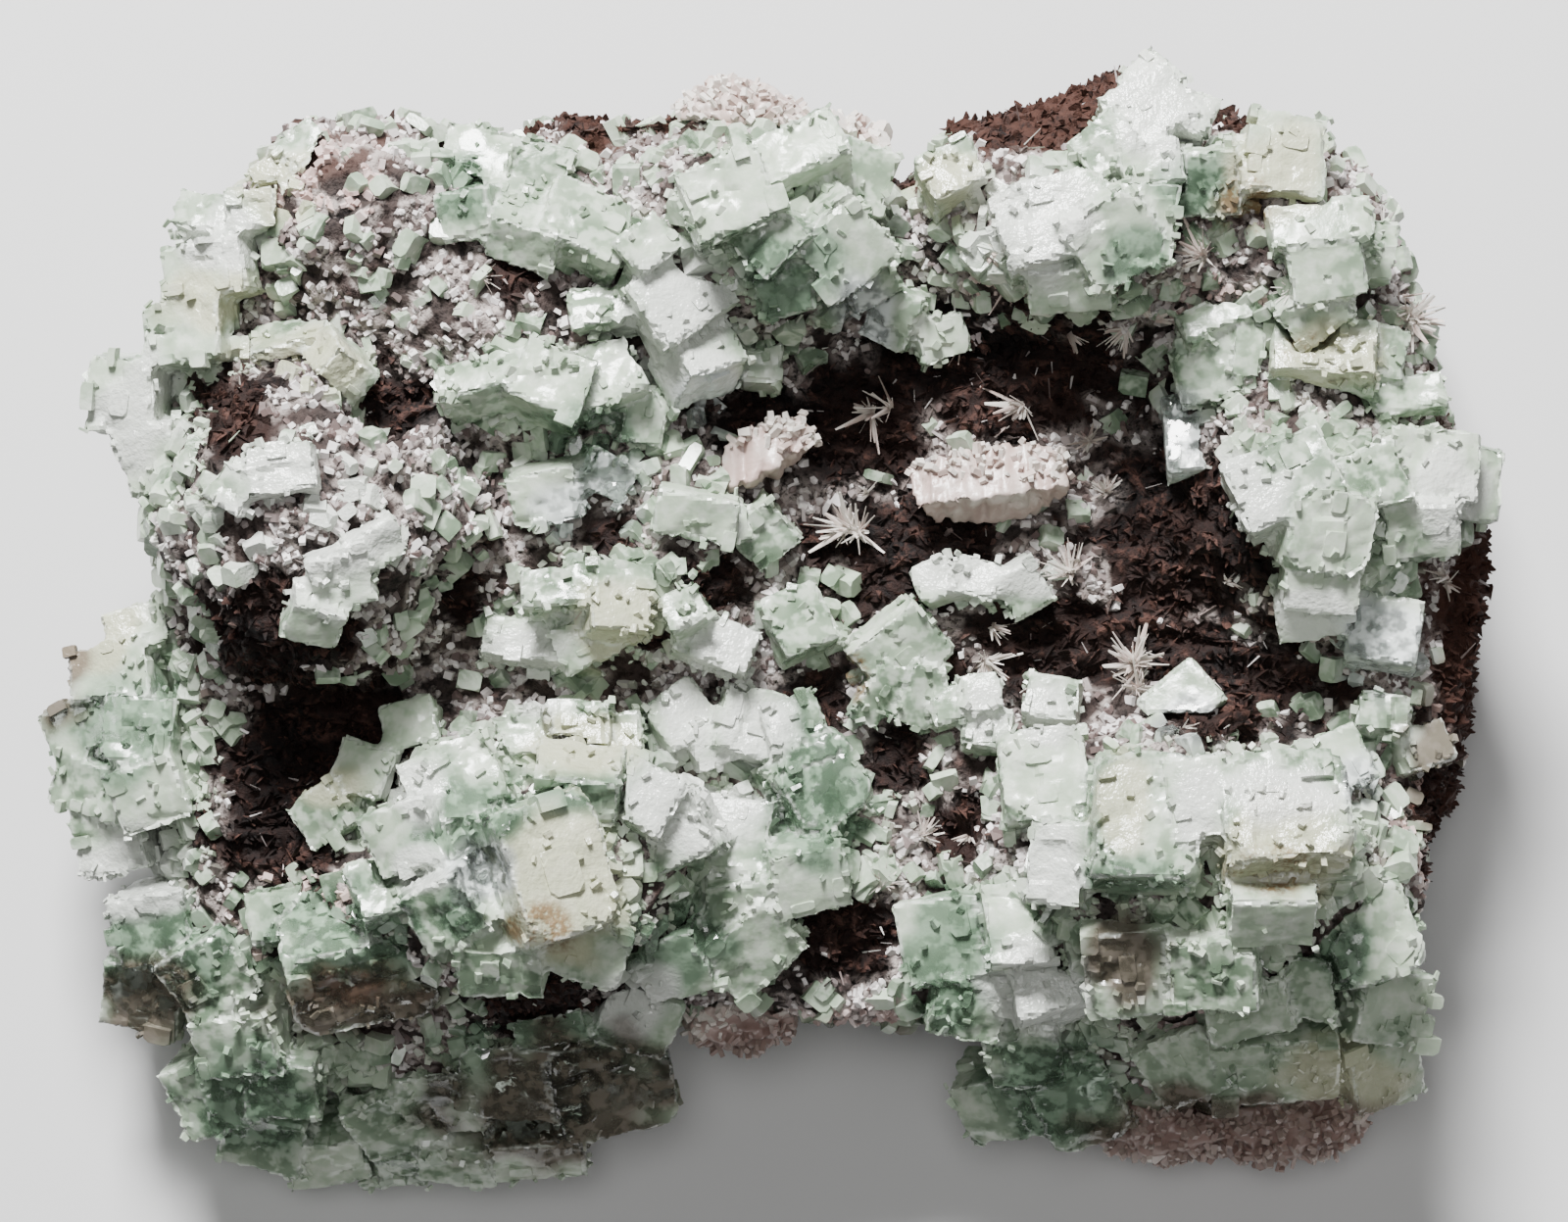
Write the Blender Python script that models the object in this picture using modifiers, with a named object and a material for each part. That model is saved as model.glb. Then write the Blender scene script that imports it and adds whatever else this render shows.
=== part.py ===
# Apophyllite cluster on basalt, lying on its flat broken back.
#
# +Z points up out of the crystal side, +X to the right and +Y to the far rim.
# Sizes in the tables are millimetres, and MM turns them into metres.
# The plan positions x and y are read at PLAN_LEVEL, looking straight down from the eye
# point, and a piece that is higher or lower slides along its sight line.

import math
from collections import namedtuple

import bmesh
import bpy
from mathutils import Matrix, Vector, noise
from mathutils.bvhtree import BVHTree

MM = 0.001
EYE_HEIGHT = 600.0
PLAN_LEVEL = 30.0

# The basalt: a slab with lumps on it, cut flat where it rests.
SLAB_TOP = 27.0
SLAB_BELOW = 8.0
SLAB_LEVELS = 3
LUMP_LEVELS = 2
VOXEL = 1.9
WEATHERING = 3
WAVE = 2.2
WAVE_PITCH = 17.0
ENVELOPE_TRIANGLES = 820
PIT_DEPTH = 1.6
PIT_PITCH = 5.0
ROCK_TRIANGLES = 2100

# Touching solids keep this gap, so that each stays a closed body of its own.
GAP = 0.35
# A crystal that only drops onto the rock sinks by this share of its thickness.
SINK_SHARE = 0.35
# Corners are cut back by this share of the shortest side, as pyramid faces do.
CORNER_SHARE = 0.24
TRUNCATED_FROM = 8.9
# What a Boolean chips off and is smaller than this is dropped.
SMALLEST_BODY_MM3 = 3.0
# Points closer than this, in metres, are one point.
WELD = 2e-6

Lump = namedtuple("Lump", "x y z across along high")
Crystal = namedtuple("Crystal", "x y across along thick turn lean toward height", defaults=(None,))
Spray = namedtuple("Spray", "name x y reach needles spread turn")
Fan = namedtuple("Fan", "name x y long deep tall blades spread turn lean toward")

# Plan outline of the basalt slab, clockwise from the left shoulder.
SLAB_OUTLINE = (
    (-49, 47), (-41, 50), (-35, 47), (-31, 46), (-22, 51), (-10, 51), (0, 50), (8, 47),
    (11, 43), (17, 47), (27, 52), (35, 56), (43, 53), (52, 47), (62, 42), (65, 32),
    (69, 20), (72, 8), (72, -3), (67, -14), (65, -26), (60, -36), (56, -43), (44, -45),
    (30, -43), (20, -41), (8, -42), (-4, -40), (-12, -42), (-26, -43), (-44, -43), (-51, -40),
    (-57, -33), (-61, -23), (-62, -10), (-60, 2), (-60, 14), (-60, 26), (-56, 37),
)

# Lumps of basalt and old crust that carry the crystals.
ROCK_LUMPS = (
    Lump(-47, 9, 27, 18, 18, 24),
    Lump(-52, 3, 18, 13, 17, 20),
    Lump(-42, 39, 20, 15, 13, 22),
    Lump(-57, 22, 18, 9, 18, 17),
    Lump(-31, 30, 22, 18, 15, 19),
    Lump(-6, 39, 22, 18, 13, 21),
    Lump(30, 40, 22, 20, 13, 20),
    Lump(50, 37, 19, 14, 14, 19),
    Lump(54, 13, 20, 16, 18, 19),
    Lump(63, -7, 16, 9, 19, 14),
    Lump(-16, 8, 20, 21, 17, 16),
    Lump(42, -26, 22, 24, 17, 25),
    Lump(44, -41, 12, 21, 11, 13),
    Lump(-28, -26, 22, 23, 17, 24),
    Lump(-57, -22, 14, 9, 21, 15),
    Lump(-34, -40, 12, 24, 12, 14),
    Lump(4, -28, 17, 18, 13, 14),
)

# Hollows: the vug below the shoulder, the valley's dark pockets and the notch.
ROCK_HOLLOWS = (
    Lump(-40, 22, 42, 6, 6, 7),
    Lump(-33, 1, 40, 5, 6, 9),
    Lump(25, 12, 38, 24, 13, 12),
    Lump(10, -33, 35, 8, 8, 8),
    Lump(51, -14, 38, 9, 5, 9),
    Lump(12, 47, 32, 5, 9, 16),
    Lump(-45, -19, 44, 10, 9, 16),
)

# Crystals that have grown together form one group, and each group is one piece.
APOPHYLLITE = {
    "apophyllite_left_edge": (
        Crystal(-66.5, 22.0, 7.5, 8.5, 8.0, -8, 15, 200, 31),
        Crystal(-63.5, 16.0, 7.0, 6.5, 8.0, 20, 20, 220, 31),
        Crystal(-59.5, 12.5, 6.5, 6.0, 8.0, 35, 25, 250, 31),
        Crystal(-60.0, 28.0, 8.5, 6.5, 8.0, 5, 20, 160, 33),
        Crystal(-58.0, 34.5, 9.0, 6.0, 8.0, 10, 15, 170, 33),
        Crystal(-58.0, 39.5, 7.5, 4.5, 7.0, -12, 25, 120, 32),
        Crystal(-54.0, 40.5, 5.5, 4.5, 6.0, 5, 10, 120, 34),
    ),
    "apophyllite_shoulder_rim": (
        Crystal(-51.0, 43.5, 5.5, 5.0, 6.0, 30, 20, 120, 33),
        Crystal(-48.5, 46.5, 5.0, 4.5, 6.0, 45, 25, 110, 33),
    ),
    "apophyllite_cream_blades": (
        Crystal(-50.0, 27.0, 8.5, 4.0, 6.0, 15, 30, 270),
        Crystal(-45.3, 25.0, 6.0, 5.0, 6.0, -40, 35, 300),
    ),
    "apophyllite_top_left": (
        Crystal(-31.0, 45.5, 7.5, 6.0, 7.5, -12, 20, 100),
        Crystal(-25.3, 44.0, 7.0, 6.5, 8.0, -18, 12, 80),
        Crystal(-20.8, 38.0, 9.5, 7.5, 9.0, -22, 30, 60),
        Crystal(-26.0, 39.0, 7.5, 6.0, 9.0, -15, 35, 250),
        Crystal(-31.5, 40.5, 6.0, 5.5, 7.0, 10, 20, 200),
    ),
    "apophyllite_white_plates": (
        Crystal(-8.8, 25.5, 7.5, 6.5, 7.0, 25, 35, 60, 36),
        Crystal(-11.0, 31.5, 9.5, 8.0, 7.0, 35, 20, 45),
        Crystal(-17.8, 30.5, 8.5, 4.5, 6.0, 10, 20, 90),
        Crystal(-14.3, 37.0, 6.0, 5.0, 5.5, 40, 15, 45),
    ),
    "apophyllite_top_centre": (
        Crystal(-5.8, 41.5, 9.0, 8.0, 9.0, 20, 10, 90),
        Crystal(1.5, 46.0, 9.5, 6.0, 7.0, 25, 25, 90),
        Crystal(7.0, 44.5, 7.0, 6.5, 7.0, -20, 15, 0),
        Crystal(5.0, 38.0, 9.0, 8.5, 9.0, -50, 25, 315),
        Crystal(-1.0, 38.5, 7.0, 7.0, 8.0, 45, 15, 200),
        Crystal(8.0, 34.5, 5.5, 6.0, 6.0, -55, 35, 300),
        Crystal(0.0, 33.0, 6.0, 5.0, 5.0, 15, 20, 260),
    ),
    "apophyllite_white_peak": (
        Crystal(37.3, 52.5, 6.0, 5.5, 8.0, 45, 25, 90, 34),
        Crystal(37.0, 50.0, 8.5, 7.0, 8.0, 30, 20, 90, 37),
        Crystal(41.0, 50.0, 5.0, 5.0, 7.0, -25, 20, 60, 37),
        Crystal(33.0, 47.0, 6.5, 5.5, 7.0, 40, 15, 130, 40),
        Crystal(37.0, 45.0, 6.5, 5.0, 6.0, 10, 15, 60, 41),
    ),
    "apophyllite_top_right_white": (
        Crystal(27.7, 39.0, 12.0, 9.0, 9.0, 15, 15, 100),
        Crystal(32.5, 38.5, 9.0, 9.0, 10.0, -60, 20, 320),
        Crystal(36.8, 39.5, 4.5, 8.5, 8.0, -8, 15, 350),
        Crystal(29.0, 34.5, 8.5, 5.5, 7.0, 5, 40, 270),
    ),
    "apophyllite_top_right_green": (
        Crystal(42.0, 44.5, 9.0, 7.0, 8.0, 5, 20, 260),
        Crystal(50.7, 45.5, 8.0, 9.0, 9.0, -8, 15, 60),
        Crystal(47.0, 44.5, 5.5, 6.0, 7.0, 15, 12, 90),
    ),
    "apophyllite_right_shoulder": (
        Crystal(54.7, 38.5, 11.0, 5.0, 7.0, 8, 20, 100),
        Crystal(55.0, 35.0, 8.0, 6.5, 8.0, 12, 10, 280),
        Crystal(59.5, 36.5, 4.5, 6.5, 7.0, -10, 15, 20),
        Crystal(54.0, 31.5, 7.0, 6.0, 7.0, 40, 30, 270),
    ),
    "apophyllite_right_block": (
        Crystal(55.0, 25.5, 11.0, 6.5, 8.0, -5, 25, 95),
        Crystal(60.0, 26.0, 6.5, 5.5, 7.0, -15, 15, 60),
        Crystal(63.0, 21.5, 9.0, 4.0, 5.0, 12, 15, 90),
    ),
    "apophyllite_right_cluster": (
        Crystal(51.0, 13.0, 11.0, 8.0, 9.0, 25, 10, 120),
        Crystal(55.0, 9.0, 9.0, 9.0, 10.0, -10, 15, 300),
        Crystal(54.7, 4.0, 8.0, 6.5, 8.0, -5, 20, 270),
        Crystal(54.0, 0.5, 7.5, 5.0, 6.0, 10, 35, 260),
        Crystal(65.0, 14.5, 10.0, 7.5, 9.0, -5, 15, 30),
        Crystal(64.5, 9.5, 8.0, 6.5, 8.0, 5, 25, 280),
        Crystal(69.5, 13.0, 5.0, 8.0, 8.0, -8, 20, 0, 29),
        Crystal(60.0, 13.0, 6.5, 7.0, 8.0, 20, 10, 90),
    ),
    "apophyllite_right_middle": (
        Crystal(43.7, 24.5, 7.0, 6.5, 7.0, 15, 15, 200),
        Crystal(44.0, 29.0, 7.5, 4.0, 6.0, 25, 25, 110),
        Crystal(47.0, 26.5, 4.5, 6.0, 6.0, -10, 15, 0),
    ),
    "apophyllite_valley_blade": (Crystal(40.7, 17.5, 4.0, 8.5, 5.0, 5, 20, 100),),
    "apophyllite_valley_blue": (
        Crystal(11.7, 30.5, 5.5, 6.5, 7.0, -25, 20, 220),
        Crystal(15.7, 28.0, 5.5, 5.0, 5.5, 20, 15, 330),
    ),
    "apophyllite_far_small": (Crystal(17.2, 44.0, 6.5, 5.5, 7.0, 25, 20, 100),),
    "apophyllite_valley_rhomb": (
        Crystal(-9.0, 10.0, 8.5, 5.0, 5.0, -12, 15, 270),
        Crystal(-2.3, 8.2, 6.0, 6.0, 5.5, 40, 20, 300),
        Crystal(-5.5, 9.0, 4.0, 4.0, 4.5, 10, 10, 0),
    ),
    "apophyllite_valley_house": (
        Crystal(11.5, -3.5, 9.0, 7.5, 6.0, 40, 20, 300),
        Crystal(9.7, -8.0, 4.0, 7.5, 5.0, -30, 20, 290),
        Crystal(13.5, -8.0, 4.0, 7.0, 5.0, -20, 20, 300),
        Crystal(17.0, -10.0, 4.5, 4.0, 5.0, 15, 15, 90),
        Crystal(20.0, -9.0, 4.5, 4.5, 6.0, 5, 15, 90),
        Crystal(20.8, -12.5, 5.5, 4.5, 5.0, -5, 20, 100),
    ),
    "apophyllite_valley_grey": (Crystal(1.2, -1.5, 6.5, 7.0, 6.0, 25, 20, 60),),
    "apophyllite_valley_row": (
        Crystal(15.5, 2.7, 4.5, 4.5, 5.0, 20, 15, 120),
        Crystal(19.5, 3.0, 5.0, 4.5, 5.0, -15, 15, 80),
        Crystal(24.0, 2.7, 5.0, 5.5, 5.0, 30, 20, 300),
    ),
    "apophyllite_valley_cube": (Crystal(27.4, -9.8, 6.0, 5.0, 6.5, -8, 22, 90),),
    "apophyllite_clear_cube": (Crystal(61.2, -2.5, 7.5, 7.0, 8.0, -10, 14, 110),),
    "apophyllite_small_mint": (Crystal(-2.3, 25.0, 4.5, 5.0, 6.0, -5, 12, 90),),
    "apophyllite_lilac_tablet": (Crystal(40.7, -9.5, 7.5, 6.0, 4.5, 40, 20, 120),),
    "apophyllite_left_centre": (
        Crystal(-30.8, 23.0, 9.0, 4.5, 6.0, 15, 30, 110),
        Crystal(-23.8, 23.0, 8.0, 7.0, 8.0, -20, 15, 60),
        Crystal(-18.5, 23.5, 8.0, 7.0, 8.0, 25, 12, 100),
        Crystal(-15.0, 20.0, 5.0, 6.0, 6.0, -10, 20, 340),
    ),
    "apophyllite_centre_pale": (
        Crystal(-24.0, 12.2, 7.5, 6.0, 7.0, 12, 15, 250),
        Crystal(-18.5, 14.0, 6.0, 4.5, 6.0, -30, 20, 330),
    ),
    "apophyllite_centre": (
        Crystal(-17.0, 1.0, 6.5, 8.0, 7.0, -5, 20, 45),
        Crystal(-23.0, 2.0, 7.5, 4.5, 6.0, 5, 15, 100),
        Crystal(-20.5, -2.5, 6.5, 5.5, 6.0, 25, 15, 280),
        Crystal(-26.0, -3.5, 9.5, 4.5, 6.0, -8, 15, 100),
    ),
    "apophyllite_grey_blades": (
        Crystal(-7.0, -3.5, 8.5, 5.0, 5.0, -20, 15, 80),
        Crystal(-10.0, 0.0, 5.0, 4.5, 5.0, 30, 15, 120),
    ),
    "apophyllite_knob": (
        Crystal(-45.3, 4.0, 6.5, 6.0, 6.0, 15, 20, 290),
        Crystal(-47.8, 0.5, 6.0, 5.0, 7.0, -20, 40, 270),
        Crystal(-42.0, 7.0, 6.0, 4.5, 6.0, 30, 20, 320),
    ),
    "apophyllite_knob_crown": (
        Crystal(-51.0, 14.0, 7.0, 5.5, 5.5, 10, 15, 100),
        Crystal(-55.5, 12.5, 5.0, 4.5, 5.0, -30, 20, 180),
    ),
    "apophyllite_lower_centre": (
        Crystal(-24.8, -26.5, 10.5, 14.0, 13.0, 18, 22, 20),
        Crystal(-33.0, -18.0, 10.0, 8.0, 9.0, 25, 15, 120),
        Crystal(-37.5, -22.5, 8.0, 7.0, 9.0, 20, 20, 200),
        Crystal(-33.0, -29.0, 8.0, 7.0, 10.0, 30, 30, 230),
        Crystal(-20.8, -33.0, 9.0, 6.5, 9.0, -20, 25, 290),
        Crystal(-28.5, -34.5, 9.0, 6.0, 9.0, 0, 35, 260),
    ),
    "apophyllite_lower_edge": (
        Crystal(-42.0, -16.5, 6.5, 5.5, 7.0, -20, 20, 150),
        Crystal(-37.5, -12.5, 6.0, 5.5, 7.0, 15, 25, 120),
        Crystal(-46.0, -20.5, 6.0, 6.0, 7.0, 35, 20, 200),
    ),
    "apophyllite_lower_yellow": (
        Crystal(-21.0, -12.5, 7.0, 5.0, 8.0, 0, 20, 90),
        Crystal(-17.0, -13.5, 5.5, 5.0, 7.0, 5, 25, 90),
        Crystal(-21.0, -17.5, 9.0, 5.5, 8.0, -5, 30, 260),
        Crystal(-26.5, -13.0, 5.5, 5.0, 7.0, 15, 15, 120),
    ),
    "apophyllite_lower_grey": (
        Crystal(-11.0, -11.0, 6.5, 6.0, 6.0, 35, 20, 45),
        Crystal(-4.0, -11.5, 7.0, 7.5, 6.5, -15, 15, 30),
        Crystal(-7.5, -13.5, 5.5, 5.0, 6.0, 20, 10, 0),
    ),
    "apophyllite_lower_left_box": (
        Crystal(-43.3, -35.5, 15.0, 10.5, 10.0, 12, 35, 280),
        Crystal(-40.5, -29.0, 7.0, 6.5, 9.0, 20, 20, 90, 42),
        Crystal(-50.5, -31.0, 7.0, 6.0, 7.0, 10, 20, 160),
    ),
    "apophyllite_left_lower": (
        Crystal(-67.5, -6.5, 9.0, 6.0, 8.0, 10, 20, 150, 21),
        Crystal(-70.5, -11.5, 8.5, 6.0, 8.0, 25, 20, 190, 19),
        Crystal(-65.0, -12.0, 8.0, 7.0, 8.0, -5, 10, 170, 24),
        Crystal(-69.5, -17.5, 8.5, 6.0, 8.0, -15, 25, 200, 19),
        Crystal(-65.0, -2.5, 7.0, 5.5, 7.0, 20, 20, 130, 21),
        Crystal(-64.0, -18.0, 8.0, 7.0, 8.0, 20, 15, 240, 24),
        Crystal(-67.5, -23.0, 8.0, 7.0, 8.0, 15, 20, 210, 18),
        Crystal(-63.0, -31.5, 9.0, 8.0, 9.0, 12, 20, 220, 20),
        Crystal(-64.5, -38.0, 9.0, 8.0, 8.0, -10, 30, 240, 15),
        Crystal(-58.0, -36.0, 9.0, 8.0, 9.0, 30, 20, 250, 23),
        Crystal(-55.0, -42.5, 9.0, 7.5, 9.0, 10, 30, 250, 21),
        Crystal(-57.0, -48.0, 9.5, 8.5, 9.0, 20, 30, 230, 14),
        Crystal(-52.5, -52.0, 9.0, 7.0, 9.0, -15, 35, 260, 11),
        Crystal(-50.5, -46.5, 8.5, 7.5, 9.0, 0, 35, 255, 18),
        Crystal(-46.5, -54.0, 9.0, 6.5, 8.0, 10, 40, 270, 9),
    ),
    "apophyllite_bottom_plates": (
        Crystal(-17.8, -47.0, 13.0, 12.0, 7.0, 12, 30, 290, 20),
        Crystal(-27.0, -46.0, 12.0, 10.0, 8.0, -5, 35, 260, 20),
        Crystal(-34.5, -48.0, 10.0, 9.0, 8.0, 15, 42, 260, 16),
        Crystal(-15.5, -40.5, 8.5, 7.0, 8.0, -20, 25, 300, 25),
        Crystal(-24.0, -40.0, 8.0, 6.5, 8.0, 8, 25, 270, 26),
        Crystal(-40.0, -50.0, 9.0, 8.0, 8.0, 30, 40, 270, 14),
        Crystal(-25.0, -53.5, 10.0, 6.0, 8.0, 5, 45, 270, 13),
        Crystal(-33.0, -54.0, 9.0, 6.0, 8.0, -8, 45, 270, 11),
        Crystal(-40.0, -54.5, 8.0, 6.0, 8.0, 12, 50, 260, 9),
    ),
    "apophyllite_centre_green": (
        Crystal(2.7, -18.0, 9.0, 9.0, 10.0, 30, 20, 30),
        Crystal(0.5, -13.5, 6.5, 8.0, 9.0, 20, 25, 60),
        Crystal(2.0, -26.0, 8.0, 7.5, 9.0, 10, 25, 300),
        Crystal(-5.5, -23.5, 8.5, 8.0, 9.0, -10, 15, 100),
        Crystal(-10.5, -22.5, 7.0, 6.5, 9.0, 25, 15, 200),
        Crystal(-14.5, -19.5, 7.0, 6.5, 9.0, -30, 12, 60),
        Crystal(-4.0, -33.0, 10.0, 8.0, 9.0, 45, 30, 290),
        Crystal(-11.0, -34.0, 8.0, 8.0, 9.0, 20, 35, 260),
        Crystal(-4.5, -28.5, 7.0, 6.0, 9.0, 5, 25, 270),
    ),
    "apophyllite_lower_middle": (
        Crystal(16.8, -33.0, 8.5, 9.0, 10.0, 10, 15, 200),
        Crystal(18.7, -39.0, 8.0, 7.0, 9.0, -15, 25, 270),
        Crystal(23.7, -32.5, 7.0, 9.0, 9.0, 5, 15, 90),
        Crystal(27.0, -38.5, 8.5, 7.0, 10.0, 15, 15, 90),
        Crystal(24.5, -43.5, 8.0, 7.0, 9.0, 10, 35, 265, 24),
        Crystal(29.5, -48.0, 9.0, 12.0, 9.0, 25, 35, 280, 17),
        Crystal(22.5, -49.0, 8.5, 8.0, 8.0, 20, 38, 240, 15),
    ),
    "apophyllite_lower_right": (
        Crystal(36.7, -22.0, 11.0, 13.0, 12.0, -4, 15, 80),
        Crystal(42.0, -20.0, 6.5, 8.5, 11.0, 10, 12, 90),
        Crystal(26.5, -17.5, 9.0, 9.5, 10.0, 5, 15, 100),
        Crystal(28.5, -25.5, 6.0, 8.5, 10.0, -5, 12, 180),
        Crystal(50.5, -22.0, 13.0, 12.0, 13.0, 3, 25, 85),
        Crystal(49.5, -29.0, 9.0, 6.5, 9.0, 0, 40, 270),
        Crystal(55.5, -16.5, 7.0, 6.5, 9.0, 25, 20, 60),
    ),
    "apophyllite_right_corner": (
        Crystal(58.7, -33.0, 10.0, 10.0, 9.0, 20, 15, 20, 35),
        Crystal(60.5, -39.5, 8.5, 8.0, 9.0, -10, 25, 330, 28),
        Crystal(59.5, -45.5, 8.5, 8.0, 9.0, 15, 35, 320, 20),
    ),
    "apophyllite_bottom_right": (
        Crystal(44.0, -35.5, 9.0, 8.0, 9.0, 5, 25, 250),
        Crystal(35.5, -35.5, 10.0, 10.0, 7.0, 8, 25, 270),
        Crystal(47.0, -38.5, 9.0, 7.0, 10.0, 15, 30, 270, 36),
        Crystal(50.0, -44.0, 13.0, 8.5, 10.0, 5, 38, 270, 28),
        Crystal(41.5, -44.5, 9.0, 8.0, 9.0, 30, 35, 240, 27),
        Crystal(52.5, -36.5, 8.0, 7.0, 9.0, -15, 25, 280, 36),
    ),
    "apophyllite_right_rim_small": (
        Crystal(64.5, -14.0, 6.0, 5.0, 6.0, 20, 20, 30),
        Crystal(61.0, -11.0, 6.0, 4.5, 6.0, -10, 15, 90),
    ),
}

# Stilbite and granular crust grown into round lumps, which may overlap.
STILBITE_LUMPS = {
    "stilbite_cream_dome": (
        Lump(-5.0, 50.0, 30, 6.6, 4.6, 7),
        Lump(-0.8, 48.5, 29, 5.0, 4.0, 6),
    ),
    "stilbite_rim_pink": (Lump(6.0, 47.0, 29, 4.6, 3.6, 6),),
    "stilbite_pink_foot": (
        Lump(50.0, -51.5, 9, 10.5, 5.5, 6),
        Lump(39.0, -51.5, 9, 9.5, 5.2, 6),
    ),
    "stilbite_arch_foot": (Lump(-4.5, -41.5, 19, 6.5, 3.8, 5),),
}

FANS = (
    Fan("stilbite_valley_fan", 21.0, 12.5, 12.5, 6.0, 9.0, 6, 64, 8, 24, 80),
    Fan("stilbite_fan_left", -2.5, 15.5, 8.0, 5.0, 7.5, 5, 60, 30, 20, 60),
)

SPRAYS = (
    Spray("needle_spray_top", 42.2, 36.0, 5.5, 6, 62, 20),
    Spray("needle_spray_upper", 37.8, 31.0, 5.5, 5, 66, 75),
    Spray("needle_spray_valley", 10.5, 20.0, 5.0, 5, 60, 40),
    Spray("needle_spray_centre", 7.5, 9.0, 5.5, 5, 62, 110),
    Spray("needle_spray_star", 29.5, 3.5, 6.0, 6, 70, 10),
    Spray("needle_spray_right", 68.0, 4.0, 5.5, 5, 66, 55),
    Spray("needle_spray_lower", 36.0, -6.0, 6.0, 5, 72, 90),
    Spray("needle_spray_corner", 64.0, 30.0, 5.5, 5, 64, 0),
)
# A fan stands this share of its height above the rock, and its outer blades are smaller.
FAN_RISE = 0.2
FAN_OVERLAP = 1.25
FAN_TAPER_TALL = 0.5
FAN_TAPER_DEEP = 0.7
NEEDLE_FOOT = 0.75
NEEDLE_TIP = 0.22
NEEDLE_SIDES = 3
# Every third needle is a little shorter, and each is turned on its own axis.
NEEDLE_SHORTER = 0.125
NEEDLE_TWIST = 20
GOLDEN_TURN = 137.5


def remove_all_objects():
    for obj in list(bpy.data.objects):
        bpy.data.objects.remove(obj)


def collection_named(name):
    made = bpy.data.collections.new(name)
    bpy.context.scene.collection.children.link(made)
    return made


def principled(name, colour, roughness, transmission=0.0):
    material = bpy.data.materials.new(name)
    material.use_nodes = True
    shader = material.node_tree.nodes["Principled BSDF"]
    shader.inputs["Base Color"].default_value = (*colour, 1.0)
    shader.inputs["Roughness"].default_value = roughness
    shader.inputs["Metallic"].default_value = 0.0
    shader.inputs["Transmission Weight"].default_value = transmission
    material.diffuse_color = (*colour, 1.0)
    return material


def object_of(bm, name, collection):
    mesh = bpy.data.meshes.new(name)
    bm.to_mesh(mesh)
    bm.free()
    obj = bpy.data.objects.new(name, mesh)
    collection.objects.link(obj)
    return obj


def helper(obj):
    """Hides a cutter or a guide, so that it is no piece of the object."""
    obj.hide_render = True
    obj.display_type = "WIRE"
    return obj


def evaluated_mesh(obj):
    bpy.context.view_layer.update()
    graph = bpy.context.evaluated_depsgraph_get()
    return bpy.data.meshes.new_from_object(obj.evaluated_get(graph))


def apply_modifiers(obj):
    """Turns what the modifiers show into the object's own mesh."""
    mesh = evaluated_mesh(obj)
    obj.modifiers.clear()
    old = obj.data
    obj.data = mesh
    bpy.data.meshes.remove(old)


# The basalt


def slab_curve(collection):
    """The slab as a filled flat outline, extruded up and down."""
    curve = bpy.data.curves.new("slab_outline", "CURVE")
    curve.dimensions = "2D"
    curve.fill_mode = "BOTH"
    curve.extrude = (SLAB_TOP + SLAB_BELOW) / 2 * MM
    spline = curve.splines.new("POLY")
    spline.points.add(len(SLAB_OUTLINE) - 1)
    for point, (x, y) in zip(spline.points, SLAB_OUTLINE):
        point.co = (x * MM, y * MM, 0, 1)
    spline.use_cyclic_u = True
    obj = bpy.data.objects.new("slab_outline", curve)
    collection.objects.link(obj)
    obj.location.z = (SLAB_TOP - SLAB_BELOW) / 2 * MM
    return obj


def slab_bmesh(collection):
    obj = slab_curve(collection)
    mesh = evaluated_mesh(obj)
    bm = bmesh.new()
    bm.from_mesh(mesh)
    bm.transform(obj.matrix_world)
    bmesh.ops.remove_doubles(bm, verts=bm.verts, dist=WELD)
    bpy.data.objects.remove(obj)
    return bm


def add_lump(bm, lump):
    place = Matrix.Translation(Vector((lump.x, lump.y, lump.z)) * MM)
    stretch = Matrix.Diagonal((lump.across * MM, lump.along * MM, lump.high * MM, 1))
    bmesh.ops.create_icosphere(bm, subdivisions=SLAB_LEVELS, radius=1, matrix=place @ stretch)


def add_voxel_remesh(obj, size):
    remesh = obj.modifiers.new("remesh", "REMESH")
    remesh.mode = "VOXEL"
    remesh.voxel_size = size * MM


def triangle_count(mesh):
    return sum(len(face.vertices) - 2 for face in mesh.polygons)


def thin_out(obj, triangles):
    thin = obj.modifiers.new("facets", "DECIMATE")
    thin.ratio = min(1.0, triangles / triangle_count(obj.data))
    apply_modifiers(obj)


def push_along_normals(mesh, distance_at):
    """Moves each point along its normal by a distance in millimetres."""
    normals = [vertex.normal.copy() for vertex in mesh.vertices]
    for vertex, normal in zip(mesh.vertices, normals):
        vertex.co += normal * distance_at(vertex.co / MM) * MM


def wave_at(spot):
    return noise.noise(spot / WAVE_PITCH) * WAVE


def pit_at(spot):
    """Pits only go inwards, so the rock stays inside its envelope."""
    return -abs(noise.noise(spot / PIT_PITCH)) * PIT_DEPTH


def cut_flat_below(obj):
    """Cuts away what is under the resting plane and closes it with one flat face."""
    bm = bmesh.new()
    bm.from_mesh(obj.data)
    everything = bm.verts[:] + bm.edges[:] + bm.faces[:]
    cut = bmesh.ops.bisect_plane(
        bm, geom=everything, dist=WELD, plane_co=(0, 0, 0), plane_no=(0, 0, 1), clear_inner=True
    )
    rim = [item for item in cut["geom_cut"] if isinstance(item, bmesh.types.BMEdge)]
    bmesh.ops.edgeloop_fill(bm, edges=rim)
    bmesh.ops.recalc_face_normals(bm, faces=bm.faces)
    bm.to_mesh(obj.data)
    bm.free()


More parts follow.
